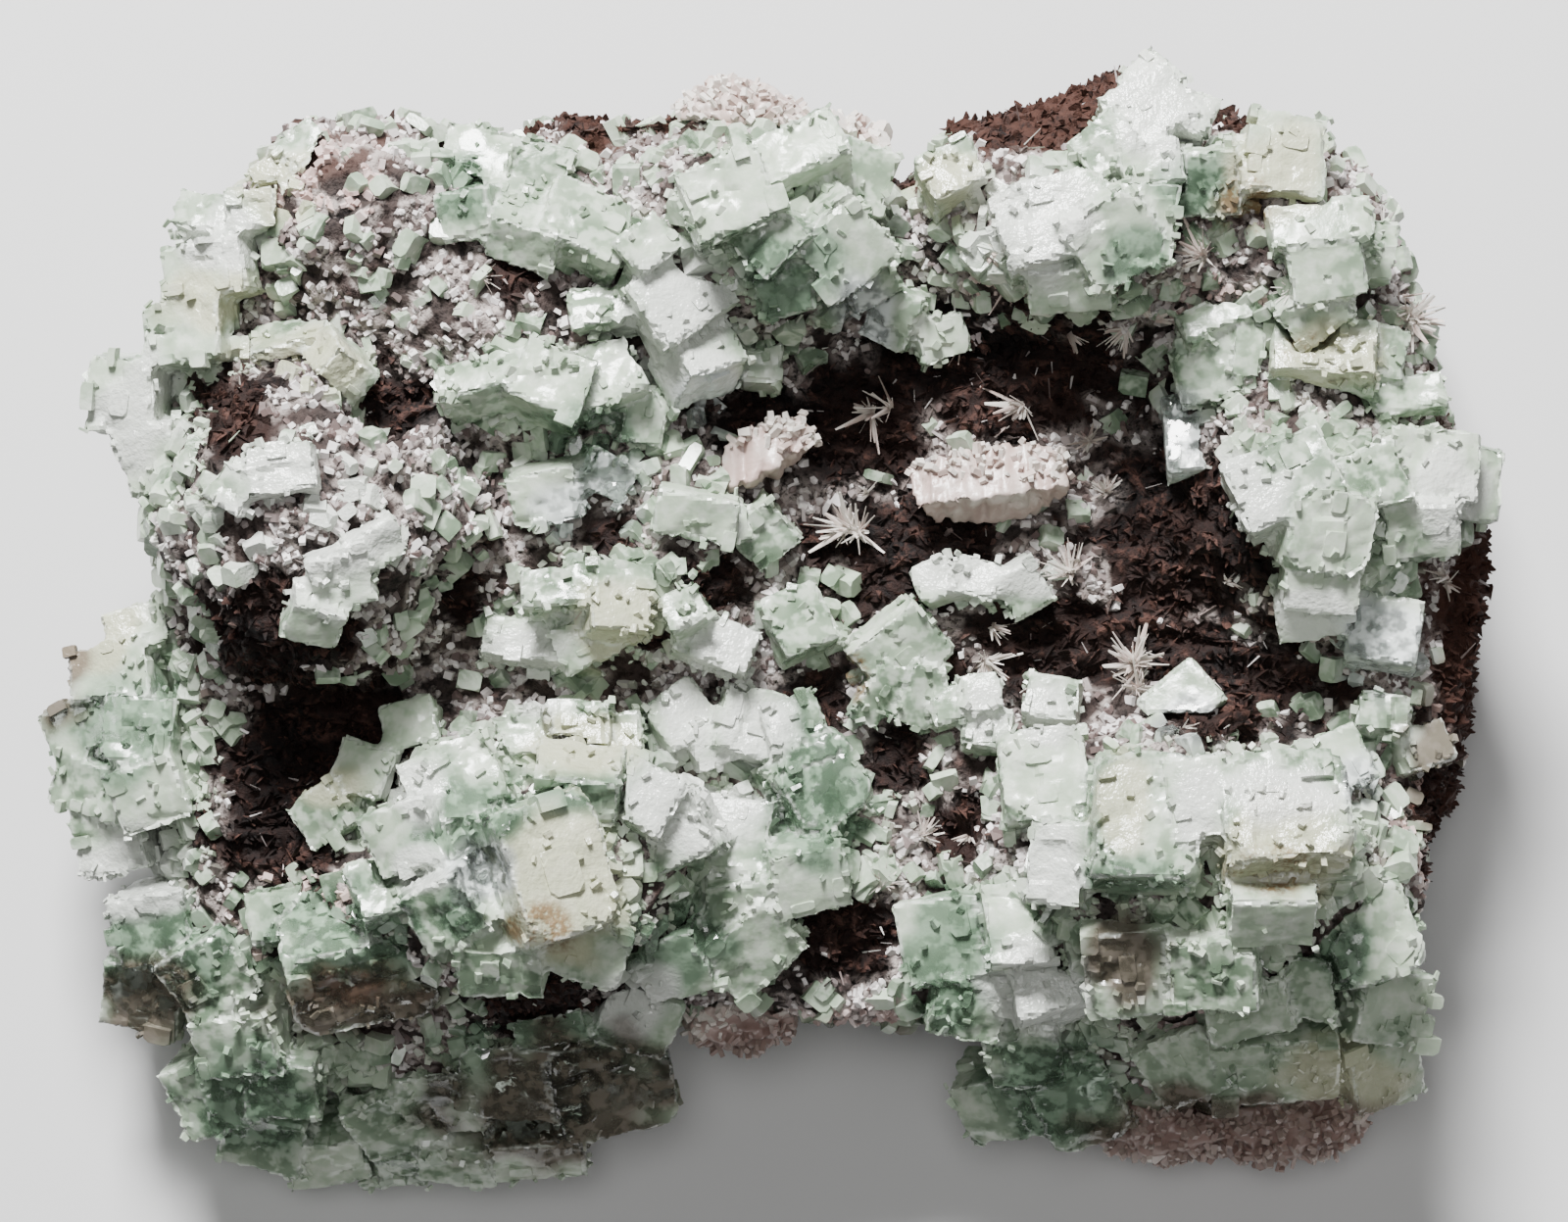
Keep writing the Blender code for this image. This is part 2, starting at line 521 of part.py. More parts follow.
def make_rock_envelope(cutters):
    """The broad faces of the broken rock, which hold the pitted rock inside."""
    bm = slab_bmesh(cutters)
    for lump in ROCK_LUMPS:
        add_lump(bm, lump)
    rock = helper(object_of(bm, "rock_envelope", cutters))
    add_voxel_remesh(rock, VOXEL)
    hollows = bmesh.new()
    for hollow in ROCK_HOLLOWS:
        add_lump(hollows, hollow)
    hollow_cutter = helper(object_of(hollows, "rock_hollows", cutters))
    cut = rock.modifiers.new("hollows", "BOOLEAN")
    cut.operation = "DIFFERENCE"
    cut.object = hollow_cutter
    add_voxel_remesh(rock, VOXEL)
    smooth = rock.modifiers.new("weathered", "SMOOTH")
    smooth.iterations = WEATHERING
    apply_modifiers(rock)
    push_along_normals(rock.data, wave_at)
    thin_out(rock, ENVELOPE_TRIANGLES)
    return rock


def make_rock(envelope, collection):
    """The envelope with pits broken into it, standing on one flat face."""
    rock = bpy.data.objects.new("basalt_matrix", envelope.data.copy())
    collection.objects.link(rock)
    finer = rock.modifiers.new("finer", "SUBSURF")
    finer.subdivision_type = "SIMPLE"
    finer.levels = 1
    finer.render_levels = 1
    apply_modifiers(rock)
    push_along_normals(rock.data, pit_at)
    thin_out(rock, ROCK_TRIANGLES)
    cut_flat_below(rock)
    return rock


def grown_envelope(envelope, cutters):
    """The envelope, larger all round by the gap, for cutting what grows on the rock."""
    grown = helper(bpy.data.objects.new("rock_with_gap", envelope.data.copy()))
    cutters.objects.link(grown)
    push_along_normals(grown.data, lambda spot: GAP)
    return grown


def along_sight(x, y, height):
    """The point at a height that is seen over plan position x, y."""
    share = (EYE_HEIGHT - height) / (EYE_HEIGHT - PLAN_LEVEL)
    return Vector((x * share, y * share, height))


def surface_finder(rock):
    """A function that gives the height of the rock that is seen at a plan position."""
    graph = bpy.context.evaluated_depsgraph_get()
    tree = BVHTree.FromObject(rock, graph)
    eye = Vector((0, 0, EYE_HEIGHT))

    def height_at(x, y):
        toward = Vector((x, y, PLAN_LEVEL)) - eye
        hit = tree.ray_cast(eye * MM, toward.normalized())[0]
        return hit.z / MM if hit else SLAB_TOP / 2

    return height_at


# Crystals


def tilt(turn, lean, toward):
    """Turns about the vertical, then leans the upright axis towards a compass angle."""
    direction = math.radians(toward)
    hinge = Vector((-math.sin(direction), math.cos(direction), 0))
    return Matrix.Rotation(math.radians(lean), 4, hinge) @ Matrix.Rotation(math.radians(turn), 4, "Z")


def crystal_place(crystal, height_at):
    height = crystal.height
    if height is None:
        height = height_at(crystal.x, crystal.y) + crystal.thick * (0.5 - SINK_SHARE)
    centre = along_sight(crystal.x, crystal.y, height) * MM
    return Matrix.Translation(centre) @ tilt(crystal.turn, crystal.lean, crystal.toward)


def crystal_block(crystal, place, name, cutters, extra=0.0):
    """One square tablet, with its corners cut by pyramid faces when it is large."""
    sides = Vector((crystal.across, crystal.along, crystal.thick)) + Vector((extra, extra, extra))
    bm = bmesh.new()
    bmesh.ops.create_cube(bm, size=1.0, matrix=Matrix.Diagonal((*(sides * MM), 1)))
    if min(crystal.across, crystal.along) >= TRUNCATED_FROM:
        corner = min(sides) * CORNER_SHARE * MM
        bmesh.ops.bevel(bm, geom=bm.verts[:], offset=corner, segments=1, affect="VERTICES")
    bm.transform(place)
    return helper(object_of(bm, name, cutters))


def boolean_with(obj, collection, operation):
    step = obj.modifiers.new(operation.lower(), "BOOLEAN")
    step.operation = operation
    step.operand_type = "COLLECTION"
    step.collection = collection
    step.solver = "EXACT"


def hidden_collection(name, objects):
    made = collection_named(name)
    for obj in objects:
        made.objects.link(obj)
    return made


def box_of(obj):
    corners = [obj.matrix_world @ Vector(corner) for corner in obj.bound_box]
    low = Vector(map(min, *corners))
    high = Vector(map(max, *corners))
    return low, high


def boxes_meet(a, b):
    return all(a[0][i] < b[1][i] and b[0][i] < a[1][i] for i in range(3))


def islands_of(bm):
    """Groups of faces that hang together."""
    left = set(bm.faces)
    found = []
    while left:
        stack = [left.pop()]
        island = []
        while stack:
            face = stack.pop()
            island.append(face)
            for edge in face.edges:
                for other in edge.link_faces:
                    if other in left:
                        left.remove(other)
                        stack.append(other)
        found.append(island)
    return found


def body_bmesh(bm, island):
    """A new bmesh that holds only one island."""
    copy = bm.copy()
    copy.faces.ensure_lookup_table()
    keep = {face.index for face in island}
    gone = [face for face in copy.faces if face.index not in keep]
    bmesh.ops.delete(copy, geom=gone, context="FACES")
    return copy


def bodies_of(mesh):
    """The closed bodies in a mesh, largest first, without the small chips."""
    bm = bmesh.new()
    bm.from_mesh(mesh)
    bmesh.ops.remove_doubles(bm, verts=bm.verts, dist=WELD)
    bmesh.ops.dissolve_degenerate(bm, edges=bm.edges, dist=WELD)
    bm.faces.index_update()
    bodies = [body_bmesh(bm, island) for island in islands_of(bm)]
    bm.free()
    sized = [(body.calc_volume(signed=True) / MM**3, body) for body in bodies]
    kept = [pair for pair in sized if pair[0] >= SMALLEST_BODY_MM3]
    return [body for volume, body in sorted(kept, key=lambda pair: -pair[0])]


class Growth:
    """Makes pieces one after another, each clear of the rock and of the earlier ones."""

    def __init__(self, envelope, collection, cutters):
        self.collection = collection
        self.cutters = cutters
        self.rock_cutter = grown_envelope(envelope, cutters)
        self.height_at = surface_finder(envelope)
        self.clearances = []

    def earlier_near(self, blocks):
        boxes = [box_of(block) for block in blocks]
        return [
            other
            for other, other_box in self.clearances
            if any(boxes_meet(other_box, box) for box in boxes)
        ]

    def join(self, name, blocks, clearances, material):
        """Joins blocks into one solid, cuts it free, and keeps each body it leaves."""
        bpy.context.view_layer.update()
        seed = blocks[0].copy()
        seed.data = blocks[0].data.copy()
        self.cutters.objects.link(seed)
        helper(seed)
        if len(blocks) > 1:
            boolean_with(seed, hidden_collection(name + "_blocks", blocks[1:]), "UNION")
        taken = [self.rock_cutter, *self.earlier_near(blocks)]
        boolean_with(seed, hidden_collection(name + "_cuts", taken), "DIFFERENCE")
        mesh = evaluated_mesh(seed)
        for number, body in enumerate(bodies_of(mesh)):
            label = name if number == 0 else f"{name}_{number + 1}"
            piece = object_of(body, label, self.collection)
            piece.data.materials.clear()
            piece.data.materials.append(material)
        bpy.data.objects.remove(seed)
        self.clearances += [(other, box_of(other)) for other in clearances]

    def crystals(self, name, rows, material):
        places = [crystal_place(row, self.height_at) for row in rows]
        blocks = [crystal_block(row, place, "block", self.cutters) for row, place in zip(rows, places)]
        rooms = [
            crystal_block(row, place, "room", self.cutters, extra=2 * GAP)
            for row, place in zip(rows, places)
        ]
        bpy.context.view_layer.update()
        self.join(name, blocks, rooms, material)


def lump_block(lump, name, cutters, extra=0.0):
    """One round lump, as a faceted egg shape."""
    radii = Vector((lump.across, lump.along, lump.high)) + Vector((extra, extra, extra))
    place = Matrix.Translation(along_sight(lump.x, lump.y, lump.z) * MM)
    stretch = Matrix.Diagonal((*(radii * MM), 1))
    bm = bmesh.new()
    bmesh.ops.create_icosphere(bm, subdivisions=LUMP_LEVELS, radius=1, matrix=place @ stretch)
    return helper(object_of(bm, name, cutters))


def make_lumps(growth, name, rows, material):
    blocks = [lump_block(row, "lump", growth.cutters) for row in rows]
    rooms = [lump_block(row, "room", growth.cutters, GAP) for row in rows]
    bpy.context.view_layer.update()
    growth.join(name, blocks, rooms, material)


def fan_rows(fan, height_at):
    """Blades side by side that open like a fan, as a sheaf of stilbite does."""
    height = height_at(fan.x, fan.y) + fan.tall * FAN_RISE
    width = fan.long / fan.blades
    rows = []
    for number in range(fan.blades):
        share = number / (fan.blades - 1) - 0.5
        along = share * (fan.long - width)
        turn = math.radians(fan.turn)
        x = fan.x + along * math.cos(turn)
        y = fan.y + along * math.sin(turn)
        taller = fan.tall * (1 - FAN_TAPER_TALL * share * share)
        toward = fan.turn if share > 0 else fan.turn + 180
        lean = abs(share) * fan.spread
        place = (
            Matrix.Translation(along_sight(x, y, height) * MM)
            @ tilt(0, fan.lean, fan.toward)
            @ tilt(fan.turn, lean, toward)
        )
        deep = fan.deep * (1 - FAN_TAPER_DEEP * share * share)
        rows.append((Crystal(x, y, width * FAN_OVERLAP, deep, taller, 0, 0, 0), place))
    return rows


def make_fan(growth, fan, material):
    rows = fan_rows(fan, growth.height_at)
    blocks = [crystal_block(row, place, "blade", growth.cutters) for row, place in rows]
    rooms = [crystal_block(row, place, "room", growth.cutters, 2 * GAP) for row, place in rows]
    bpy.context.view_layer.update()
    growth.join(fan.name, blocks, rooms, material)


def needle(reach, place, name, cutters, extra=0.0):
    """One slender needle that starts at the spray's centre."""
    bm = bmesh.new()
    up = Matrix.Translation((0, 0, reach / 2 * MM))
    bmesh.ops.create_cone(
        bm,
        cap_ends=True,
        segments=NEEDLE_SIDES,
        radius1=(NEEDLE_FOOT + extra) * MM,
        radius2=(NEEDLE_TIP + extra) * MM,
        depth=(reach + 2 * extra) * MM,
        matrix=up,
    )
    bm.transform(place)
    return helper(object_of(bm, name, cutters))


def make_spray(growth, spray, material):
    """Needles that spread from one foot, spaced by the golden turn."""
    height = growth.height_at(spray.x, spray.y)
    foot = Matrix.Translation(along_sight(spray.x, spray.y, height) * MM)
    places = []
    for number in range(spray.needles):
        share = (number + 0.5) / spray.needles
        lean = spray.spread * math.sqrt(share)
        toward = spray.turn + number * GOLDEN_TURN
        reach = spray.reach * (1 - NEEDLE_SHORTER * (number % 3))
        places.append((reach, foot @ tilt(number * NEEDLE_TWIST, lean, toward)))
    blocks = [needle(reach, place, "needle", growth.cutters) for reach, place in places]
    rooms = [needle(reach, place, "room", growth.cutters, GAP) for reach, place in places]
    bpy.context.view_layer.update()
    growth.join(spray.name, blocks, rooms, material)


def stand_on_base_centre(objects):
    """Moves every piece so that the origin is the middle of the base."""
    bpy.context.view_layer.update()
    boxes = [box_of(obj) for obj in objects]
    low = Vector(map(min, *(box[0] for box in boxes)))
    high = Vector(map(max, *(box[1] for box in boxes)))
    shift = Vector(((low.x + high.x) / 2, (low.y + high.y) / 2, low.z))
    for obj in objects:
        obj.data.transform(Matrix.Translation(-shift))


def main():
    remove_all_objects()
    specimen = collection_named("apophyllite_cluster")
    cutters = collection_named("cutters")
    basalt = principled("basalt", (0.07, 0.035, 0.028), 0.85)
    mint = principled("apophyllite", (0.62, 0.74, 0.62), 0.25, 0.4)
    cream = principled("stilbite", (0.78, 0.70, 0.64), 0.5, 0.1)

    envelope = make_rock_envelope(cutters)
    rock = make_rock(envelope, specimen)
    rock.data.materials.append(basalt)
    growth = Growth(envelope, specimen, cutters)
    for name, rows in APOPHYLLITE.items():
        growth.crystals(name, rows, mint)
    for name, rows in STILBITE_LUMPS.items():
        make_lumps(growth, name, rows, cream)
    for fan in FANS:
        make_fan(growth, fan, cream)
    for spray in SPRAYS:
        make_spray(growth, spray, cream)
    stand_on_base_centre(list(specimen.objects))


main()
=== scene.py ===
# %% [markdown]
# # A cluster of green apophyllite on basalt
#
# The specimen is one broken lump of dark, gas-pitted basalt. Blocky mint-green crystals of
# apophyllite grew in its hollows, with white crust, pearly fans and sprays of fine needles.
# The solids fix where every crystal stands. This lesson dresses them: growth steps on the
# crystal faces, grains in the crust, needles in the sprays, and the finishes.

import math
import random
from collections import namedtuple

import bmesh
import bpy
import numpy as np
from mathutils import Matrix, Vector, noise
from mathutils.bvhtree import BVHTree


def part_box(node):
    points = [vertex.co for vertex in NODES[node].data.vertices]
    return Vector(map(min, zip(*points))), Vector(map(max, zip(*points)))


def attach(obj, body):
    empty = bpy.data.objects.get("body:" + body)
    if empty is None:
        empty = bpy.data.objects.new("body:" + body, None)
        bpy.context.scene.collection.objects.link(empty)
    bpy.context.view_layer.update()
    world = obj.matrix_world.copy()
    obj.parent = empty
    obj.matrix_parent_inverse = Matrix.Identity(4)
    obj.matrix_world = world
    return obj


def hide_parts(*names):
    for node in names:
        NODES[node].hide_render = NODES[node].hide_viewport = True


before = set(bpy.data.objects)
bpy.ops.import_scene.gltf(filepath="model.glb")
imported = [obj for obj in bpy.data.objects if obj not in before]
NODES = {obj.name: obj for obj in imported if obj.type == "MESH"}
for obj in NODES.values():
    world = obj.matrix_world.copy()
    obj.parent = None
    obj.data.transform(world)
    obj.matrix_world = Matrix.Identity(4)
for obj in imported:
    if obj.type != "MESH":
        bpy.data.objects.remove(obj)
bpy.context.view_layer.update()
NODE_NAMES = sorted(NODES)
MM = 0.001
print("solids loaded:", len(NODES))


def nodes_named(start):
    """The solids whose names begin in one way, in the order of the alphabet."""
    return [node for node in NODE_NAMES if node.startswith(start)]


def index_of(node):
    """A whole number of its own for each solid, for seeds and chances."""
    return NODE_NAMES.index(node)

# %% [markdown]
# ## The eye point
#
# The photograph looks straight down at the crystal side from about 60 cm. Places below are
# plan millimetres as that eye sees them on one level, so a helper turns a point of the model
# into the plan place where the eye sees it.

# %% The camera
EYE = Vector((2.1, 2.14, 600.0)) * MM
PLAN_LEVEL = 30.0 * MM
FRAME_WIDTH = 160.0 * MM
SENSOR_WIDTH = 36.0


def make_camera():
    camera = bpy.data.cameras.new("photo_camera")
    camera.sensor_width = SENSOR_WIDTH
    camera.lens = SENSOR_WIDTH * (EYE.z - PLAN_LEVEL) / FRAME_WIDTH
    camera.clip_start = 0.01
    seat = bpy.data.objects.new("photo_camera", camera)
    seat.location = EYE
    bpy.context.scene.collection.objects.link(seat)
    bpy.context.scene.camera = seat
    return camera


print("lens", round(make_camera().lens, 1), "mm")


# %% [markdown]
# ## Node trees written as sums
#
# A material or a geometry recipe is a tree of nodes. A Wire stands for one output socket,
# and adding, taking away or multiplying wires adds the Math nodes. Every other node comes
# from Bench.node, which takes its type, its settings and what goes into its sockets.

# %% Wires and benches
class Wire:
    """One output socket, ready for sums."""

    def __init__(self, bench, socket):
        self.bench = bench
        self.socket = socket

    def maths(self, operation, first, second):
        return self.bench.node("ShaderNodeMath", {"operation": operation}, {0: first, 1: second})["Value"]

    def __add__(self, other):
        return self.maths("ADD", self, other)

    def __radd__(self, other):
        return self.maths("ADD", other, self)

    def __sub__(self, other):
        return self.maths("SUBTRACT", self, other)

    def __rsub__(self, other):
        return self.maths("SUBTRACT", other, self)

    def __mul__(self, other):
        return self.maths("MULTIPLY", self, other)

    def __rmul__(self, other):
        return self.maths("MULTIPLY", other, self)

    def ramp(self, low, high):
        """0 below low, 1 above high, and smooth between them."""
        settings = {"interpolation_type": "SMOOTHSTEP"}
        sockets = {"Value": self, "From Min": low, "From Max": high}
        return self.bench.node("ShaderNodeMapRange", settings, sockets)["Result"]


class Made:
    """One node, whose outputs are read by name."""

    def __init__(self, bench, node):
        self.bench = bench
        self.node = node

    def __getitem__(self, name):
        return Wire(self.bench, socket_named(self.node.outputs, name))


def socket_named(sockets, name):
    if isinstance(name, int):
        return sockets[name]
    return next(socket for socket in sockets if socket.enabled and socket.name == name)


class Bench:
    """A node tree and the one method that adds nodes to it."""

    def __init__(self, tree):
        self.tree = tree

    def node(self, kind, settings=None, sockets=None):
        node = self.tree.nodes.new(kind)
        for name, value in (settings or {}).items():
            setattr(node, name, value)
        for name, value in (sockets or {}).items():
            socket = socket_named(node.inputs, name)
            if isinstance(value, Wire):
                self.tree.links.new(value.socket, socket)
            elif socket.type == "RGBA":
                socket.default_value = (*value, 1.0)
            else:
                socket.default_value = value
        return Made(self, node)

    def blend(self, low, high, share):
        """Mixes two colours by a share."""
        sockets = {"Factor": share, "A": low, "B": high}
        return self.node("ShaderNodeMix", {"data_type": "RGBA"}, sockets)["Result"]

    def attribute(self, name):
        """A number kept on the mesh."""
        return self.node("ShaderNodeAttribute", {"attribute_name": name})["Fac"]

    def spots(self, pitch, detail=3.0, rough=0.55):
        """Cloudy noise whose patches are about one pitch wide."""
        place = self.node("ShaderNodeTexCoord")["Object"]
        sockets = {"Vector": place, "Scale": 1.0 / pitch, "Detail": detail, "Roughness": rough}
        return self.node("ShaderNodeTexNoise", None, sockets)["Fac"]

    def bump(self, height, distance, strength=1.0):
        """A normal that makes a flat face look as rough as the height says."""
        sockets = {"Height": height, "Distance": distance, "Strength": strength}
        return self.node("ShaderNodeBump", None, sockets)["Normal"]

    def shader(self, sockets):
        """The all-round surface, which stands for every finish here."""
        return self.node("ShaderNodeBsdfPrincipled", None, sockets)["BSDF"]


def new_material(name):
    """A material with an empty tree, and the bench that fills the tree."""
    material = bpy.data.materials.new(name)
    material.use_nodes = True
    material.node_tree.nodes.clear()
    bench = Bench(material.node_tree)
    return material, bench


def finish_material(bench, surface, volume=None):
    """Ends the tree in a surface and, for a filled body, in what fills it."""
    sockets = {"Surface": surface}
    if volume is not None:
        sockets["Volume"] = volume
    bench.node("ShaderNodeOutputMaterial", None, sockets)


print("wires and benches ready")

# %% [markdown]
# ## The finish of the crystals
#
# Apophyllite is water-clear to milky. The milk is a cloud of tiny bubbles, so a crystal is
# partly a clear body that bends light (IOR 1.535) and partly a soft solid. Numbers kept on
# the meshes say where it is white, cream, deep green, stained by iron, brown, clear or at a
# nibbled rim, and one finish reads them all. In places the deep green is painted shade, and
# the brown is partly brown rock seen through and partly painted shade where crystals lie in
# shadow on the lower side. Mint is what is left between.

# %% Crystal finish
APOPHYLLITE_IOR = 1.535
MINT_DARK = (0.17, 0.25, 0.16)
MINT_PALE = (0.41, 0.48, 0.37)
# Each tone has a colour, and the most that it covers the mint.
TONES = {
    # deep green, and in places a painted shade for crystals that lie in shadow
    "deep": ((0.12, 0.21, 0.13), 0.75),
    "cream": ((0.44, 0.43, 0.30), 0.75),
    "white": ((0.57, 0.58, 0.55), 0.8),
    "stain": ((0.15, 0.08, 0.03), 0.85),
    # brown: partly brown rock seen through, partly painted shade on the lower crystals
    "brown": ((0.11, 0.070, 0.055), 0.8),
    "rim": ((0.62, 0.66, 0.60), 0.65),
    "clear": ((0.66, 0.70, 0.70), 0.8),
}
FROST_COLOUR = (0.60, 0.62, 0.56)
CLOUD_PITCH = 5.0 * MM
FROST_PITCH = 1.7 * MM
SUGAR_GRAIN_PITCH = 0.55 * MM
CLEAR_TINT = (0.90, 0.97, 0.90)
ABSORPTION_COLOUR = (0.62, 0.88, 0.66)
ABSORPTION_DENSITY = 30.0


def crystal_finish(name, filled):
    """The finish of apophyllite. Only a filled body absorbs light on its way through."""
    material, bench = new_material(name)
    cloud = bench.spots(CLOUD_PITCH, detail=2.0)
    frost = bench.spots(FROST_PITCH, detail=2.0).ramp(0.44, 0.66)
    tint = bench.attribute("tint")
    tone = {kind: bench.attribute(kind) for kind in TONES}
    mint = bench.blend(MINT_DARK, MINT_PALE, (cloud * 0.95 + tint * 0.4).ramp(0.3, 1.0))
    colour = bench.blend(mint, FROST_COLOUR, frost * 0.45)
    grain = bench.spots(SUGAR_GRAIN_PITCH, detail=2.0)
    ragged = (cloud * 0.6 + grain * 0.5).ramp(0.42, 0.62)
    for kind in ("stain", "rim"):
        tone[kind] = tone[kind] * ragged
    for kind, (tone_colour, most) in TONES.items():
        colour = bench.blend(colour, tone_colour, tone[kind] * most)
    sugar = tone["white"] * 0.6 + tone["cream"] * 0.5 + 0.15
    normal = bench.bump(grain * sugar, 0.35 * MM, 0.7)
    milky = bench.shader({
        "Base Color": colour,
        "Roughness": cloud * 0.3 + 0.1,
        "IOR": APOPHYLLITE_IOR,
        "Normal": normal,
    })
    clear = bench.shader({
        "Base Color": bench.blend(CLEAR_TINT, colour, 0.25),
        "Roughness": 0.05,
        "IOR": APOPHYLLITE_IOR,
        "Transmission Weight": 1.0,
    })
    glass = tone["deep"] * 0.25 + tone["clear"] * 0.35 + tone["brown"] * 0.15
    milk = tone["white"] * 0.3 + tone["cream"] * 0.25 + frost * 0.45
    share = (cloud * 0.45 + tint * 0.3 + milk - glass + 0.27).ramp(0.0, 0.8)
    body = bench.node("ShaderNodeMixShader", None, {0: share, 1: clear, 2: milky})["Shader"]
    if not filled:
        finish_material(bench, body)
        return material
    water = {"Color": ABSORPTION_COLOUR, "Density": ABSORPTION_DENSITY}
    finish_material(bench, body, bench.node("ShaderNodeVolumeAbsorption", None, water)["Volume"])
    return material


CLEAR_APOPHYLLITE = crystal_finish("clear_apophyllite", True)
APOPHYLLITE = crystal_finish("milky_apophyllite", False)
print("crystal finishes made")

# %% [markdown]
# ## Finishes of the crust, the stilbite and the rock
#
# The crust is a felt of tiny white, cream and pink crystals, so each grain carries numbers
# for how pink and how green it is. Its brown is partly painted shade on the lower edges.
# Stilbite has a pearly face. The basalt is nearly black in its hollows, red-brown where it
# weathered, red-brown and lighter on its crests, partly its own colour and partly a painted
# highlight, and dusted with white where crust has begun.


# %% Crust and stilbite finishes
CRUST_SHADE = (0.12, 0.085, 0.08)
CRUST_WHITE = (0.66, 0.62, 0.61)
CRUST_GREEN = (0.48, 0.60, 0.44)
CRUST_PINK = (0.52, 0.37, 0.34)
# brown for the crust, partly painted shade where the lower edges lie in shadow
CRUST_BROWN_AND_SHADE = (0.17, 0.11, 0.09)
STILBITE_SHADE = (0.40, 0.29, 0.26)
STILBITE_PEARL = (0.64, 0.60, 0.55)
# brown for the stilbite, partly painted shade where it lies in shadow
STILBITE_BROWN_AND_SHADE = (0.20, 0.12, 0.10)
STILBITE_IOR = 1.5


def crust_finish():
    """Each grain has its own grey to white, under a breath of green, pink or brown; the brown is partly
    painted shade on the lower edges.
    """
    material, bench = new_material("pale_crust")
    tint = bench.attribute("tint")
    white = bench.blend(CRUST_SHADE, CRUST_WHITE, tint.ramp(0.05, 0.9))
    greenish = bench.blend(white, CRUST_GREEN, bench.attribute("mint") * 0.7)
    pinkish = bench.blend(greenish, CRUST_PINK, bench.attribute("pink") * 0.8)
    # brown, partly painted shade on the lower edges
    brown_and_shaded = bench.blend(pinkish, CRUST_BROWN_AND_SHADE, bench.attribute("brown") * 0.7)
    normal = bench.bump(bench.spots(0.3 * MM, detail=2.0), 0.06 * MM, 0.6)
    finish_material(bench, bench.shader({
        "Base Color": brown_and_shaded,
        "Roughness": tint * 0.25 + 0.3,
        "IOR": APOPHYLLITE_IOR,
        "Normal": normal,
    }))
    return material


def stilbite_finish():
    """A pinkish pearl with a thin coat, which gives the faces their sheen."""
    material, bench = new_material("pearly_stilbite")
    cloud = bench.spots(3.0 * MM)
    tint = bench.attribute("tint")
    pearly = bench.blend(STILBITE_SHADE, STILBITE_PEARL, (cloud + tint * 0.6).ramp(0.3, 1.0))
    # brown, partly painted shade on the lower edges
    colour = bench.blend(pearly, STILBITE_BROWN_AND_SHADE, bench.attribute("brown") * 0.75)
    normal = bench.bump(bench.spots(0.35 * MM, detail=2.0), 0.08 * MM, 0.6)
    finish_material(bench, bench.shader({
        "Base Color": colour,
        "Roughness": 0.36,
        "IOR": STILBITE_IOR,
        "Coat Weight": 0.25,
        "Coat Roughness": 0.25,
        "Normal": normal,
    }))
    return material


CRUST = crust_finish()
STILBITE = stilbite_finish()
print("crust and stilbite finishes made")

# %% Basalt finish
BASALT_BLACK = (0.003, 0.002, 0.002)
BASALT_DARK = (0.020, 0.009, 0.007)
# red-brown of the crests, partly the rock's own colour and partly a painted highlight
BASALT_CREST_HIGHLIGHT = (0.075, 0.036, 0.028)
BASALT_RIND = (0.048, 0.020, 0.014)
BASALT_DUST = (0.36, 0.31, 0.29)


def basalt_finish():
    """Nearly black rock that is redder on its rind, red-brown on its crests partly as a painted highlight,
    and dusted by the crust.
    """
    material, bench = new_material("vesicular_basalt")
    cloud = bench.spots(9.0 * MM)
    grit = bench.spots(0.9 * MM, detail=4.0, rough=0.7)
    dark = bench.blend(BASALT_BLACK, BASALT_DARK, (cloud * 0.6 + grit * 0.6).ramp(0.4, 0.8))
    # points that stand out get a painted highlight of red-brown
    crest_highlights = (bench.attribute("crest") + bench.attribute("tint").ramp(0.6, 1.0)).ramp(0.0, 1.0)
    crest = bench.blend(dark, BASALT_CREST_HIGHLIGHT, crest_highlights * grit.ramp(0.4, 0.6))
    rind = bench.attribute("rind") * (cloud * 0.6 + grit * 0.7).ramp(0.4, 0.75)
    red = bench.blend(crest, BASALT_RIND, rind)
    dusted = bench.blend(red, BASALT_DUST, bench.attribute("dust") * grit.ramp(0.34, 0.56))
    normal = bench.bump(grit, 0.5 * MM, 1.0)
    finish_material(bench, bench.shader({
        "Base Color": dusted,
        "Roughness": grit * 0.3 + 0.6,
        "Specular IOR Level": 0.2,
        "Normal": normal,
    }))
    return material


BASALT = basalt_finish()
print("basalt finish made")

# %% [markdown]
# ## A map of the surface
#
# What grows where is kept as patches: ellipses on the plan, seen from the eye point. Each
# has a soft, ragged edge, because crust never ends on a clean line. Everything that is not
# in a dark patch is overgrown.

# %% Patches
Patch = namedtuple("Patch", "x y across along")


def ellipses(*rows):
    """Each row is the middle of an ellipse and its two reaches, in plan millimetres."""
    return tuple(Patch(*row) for row in rows)


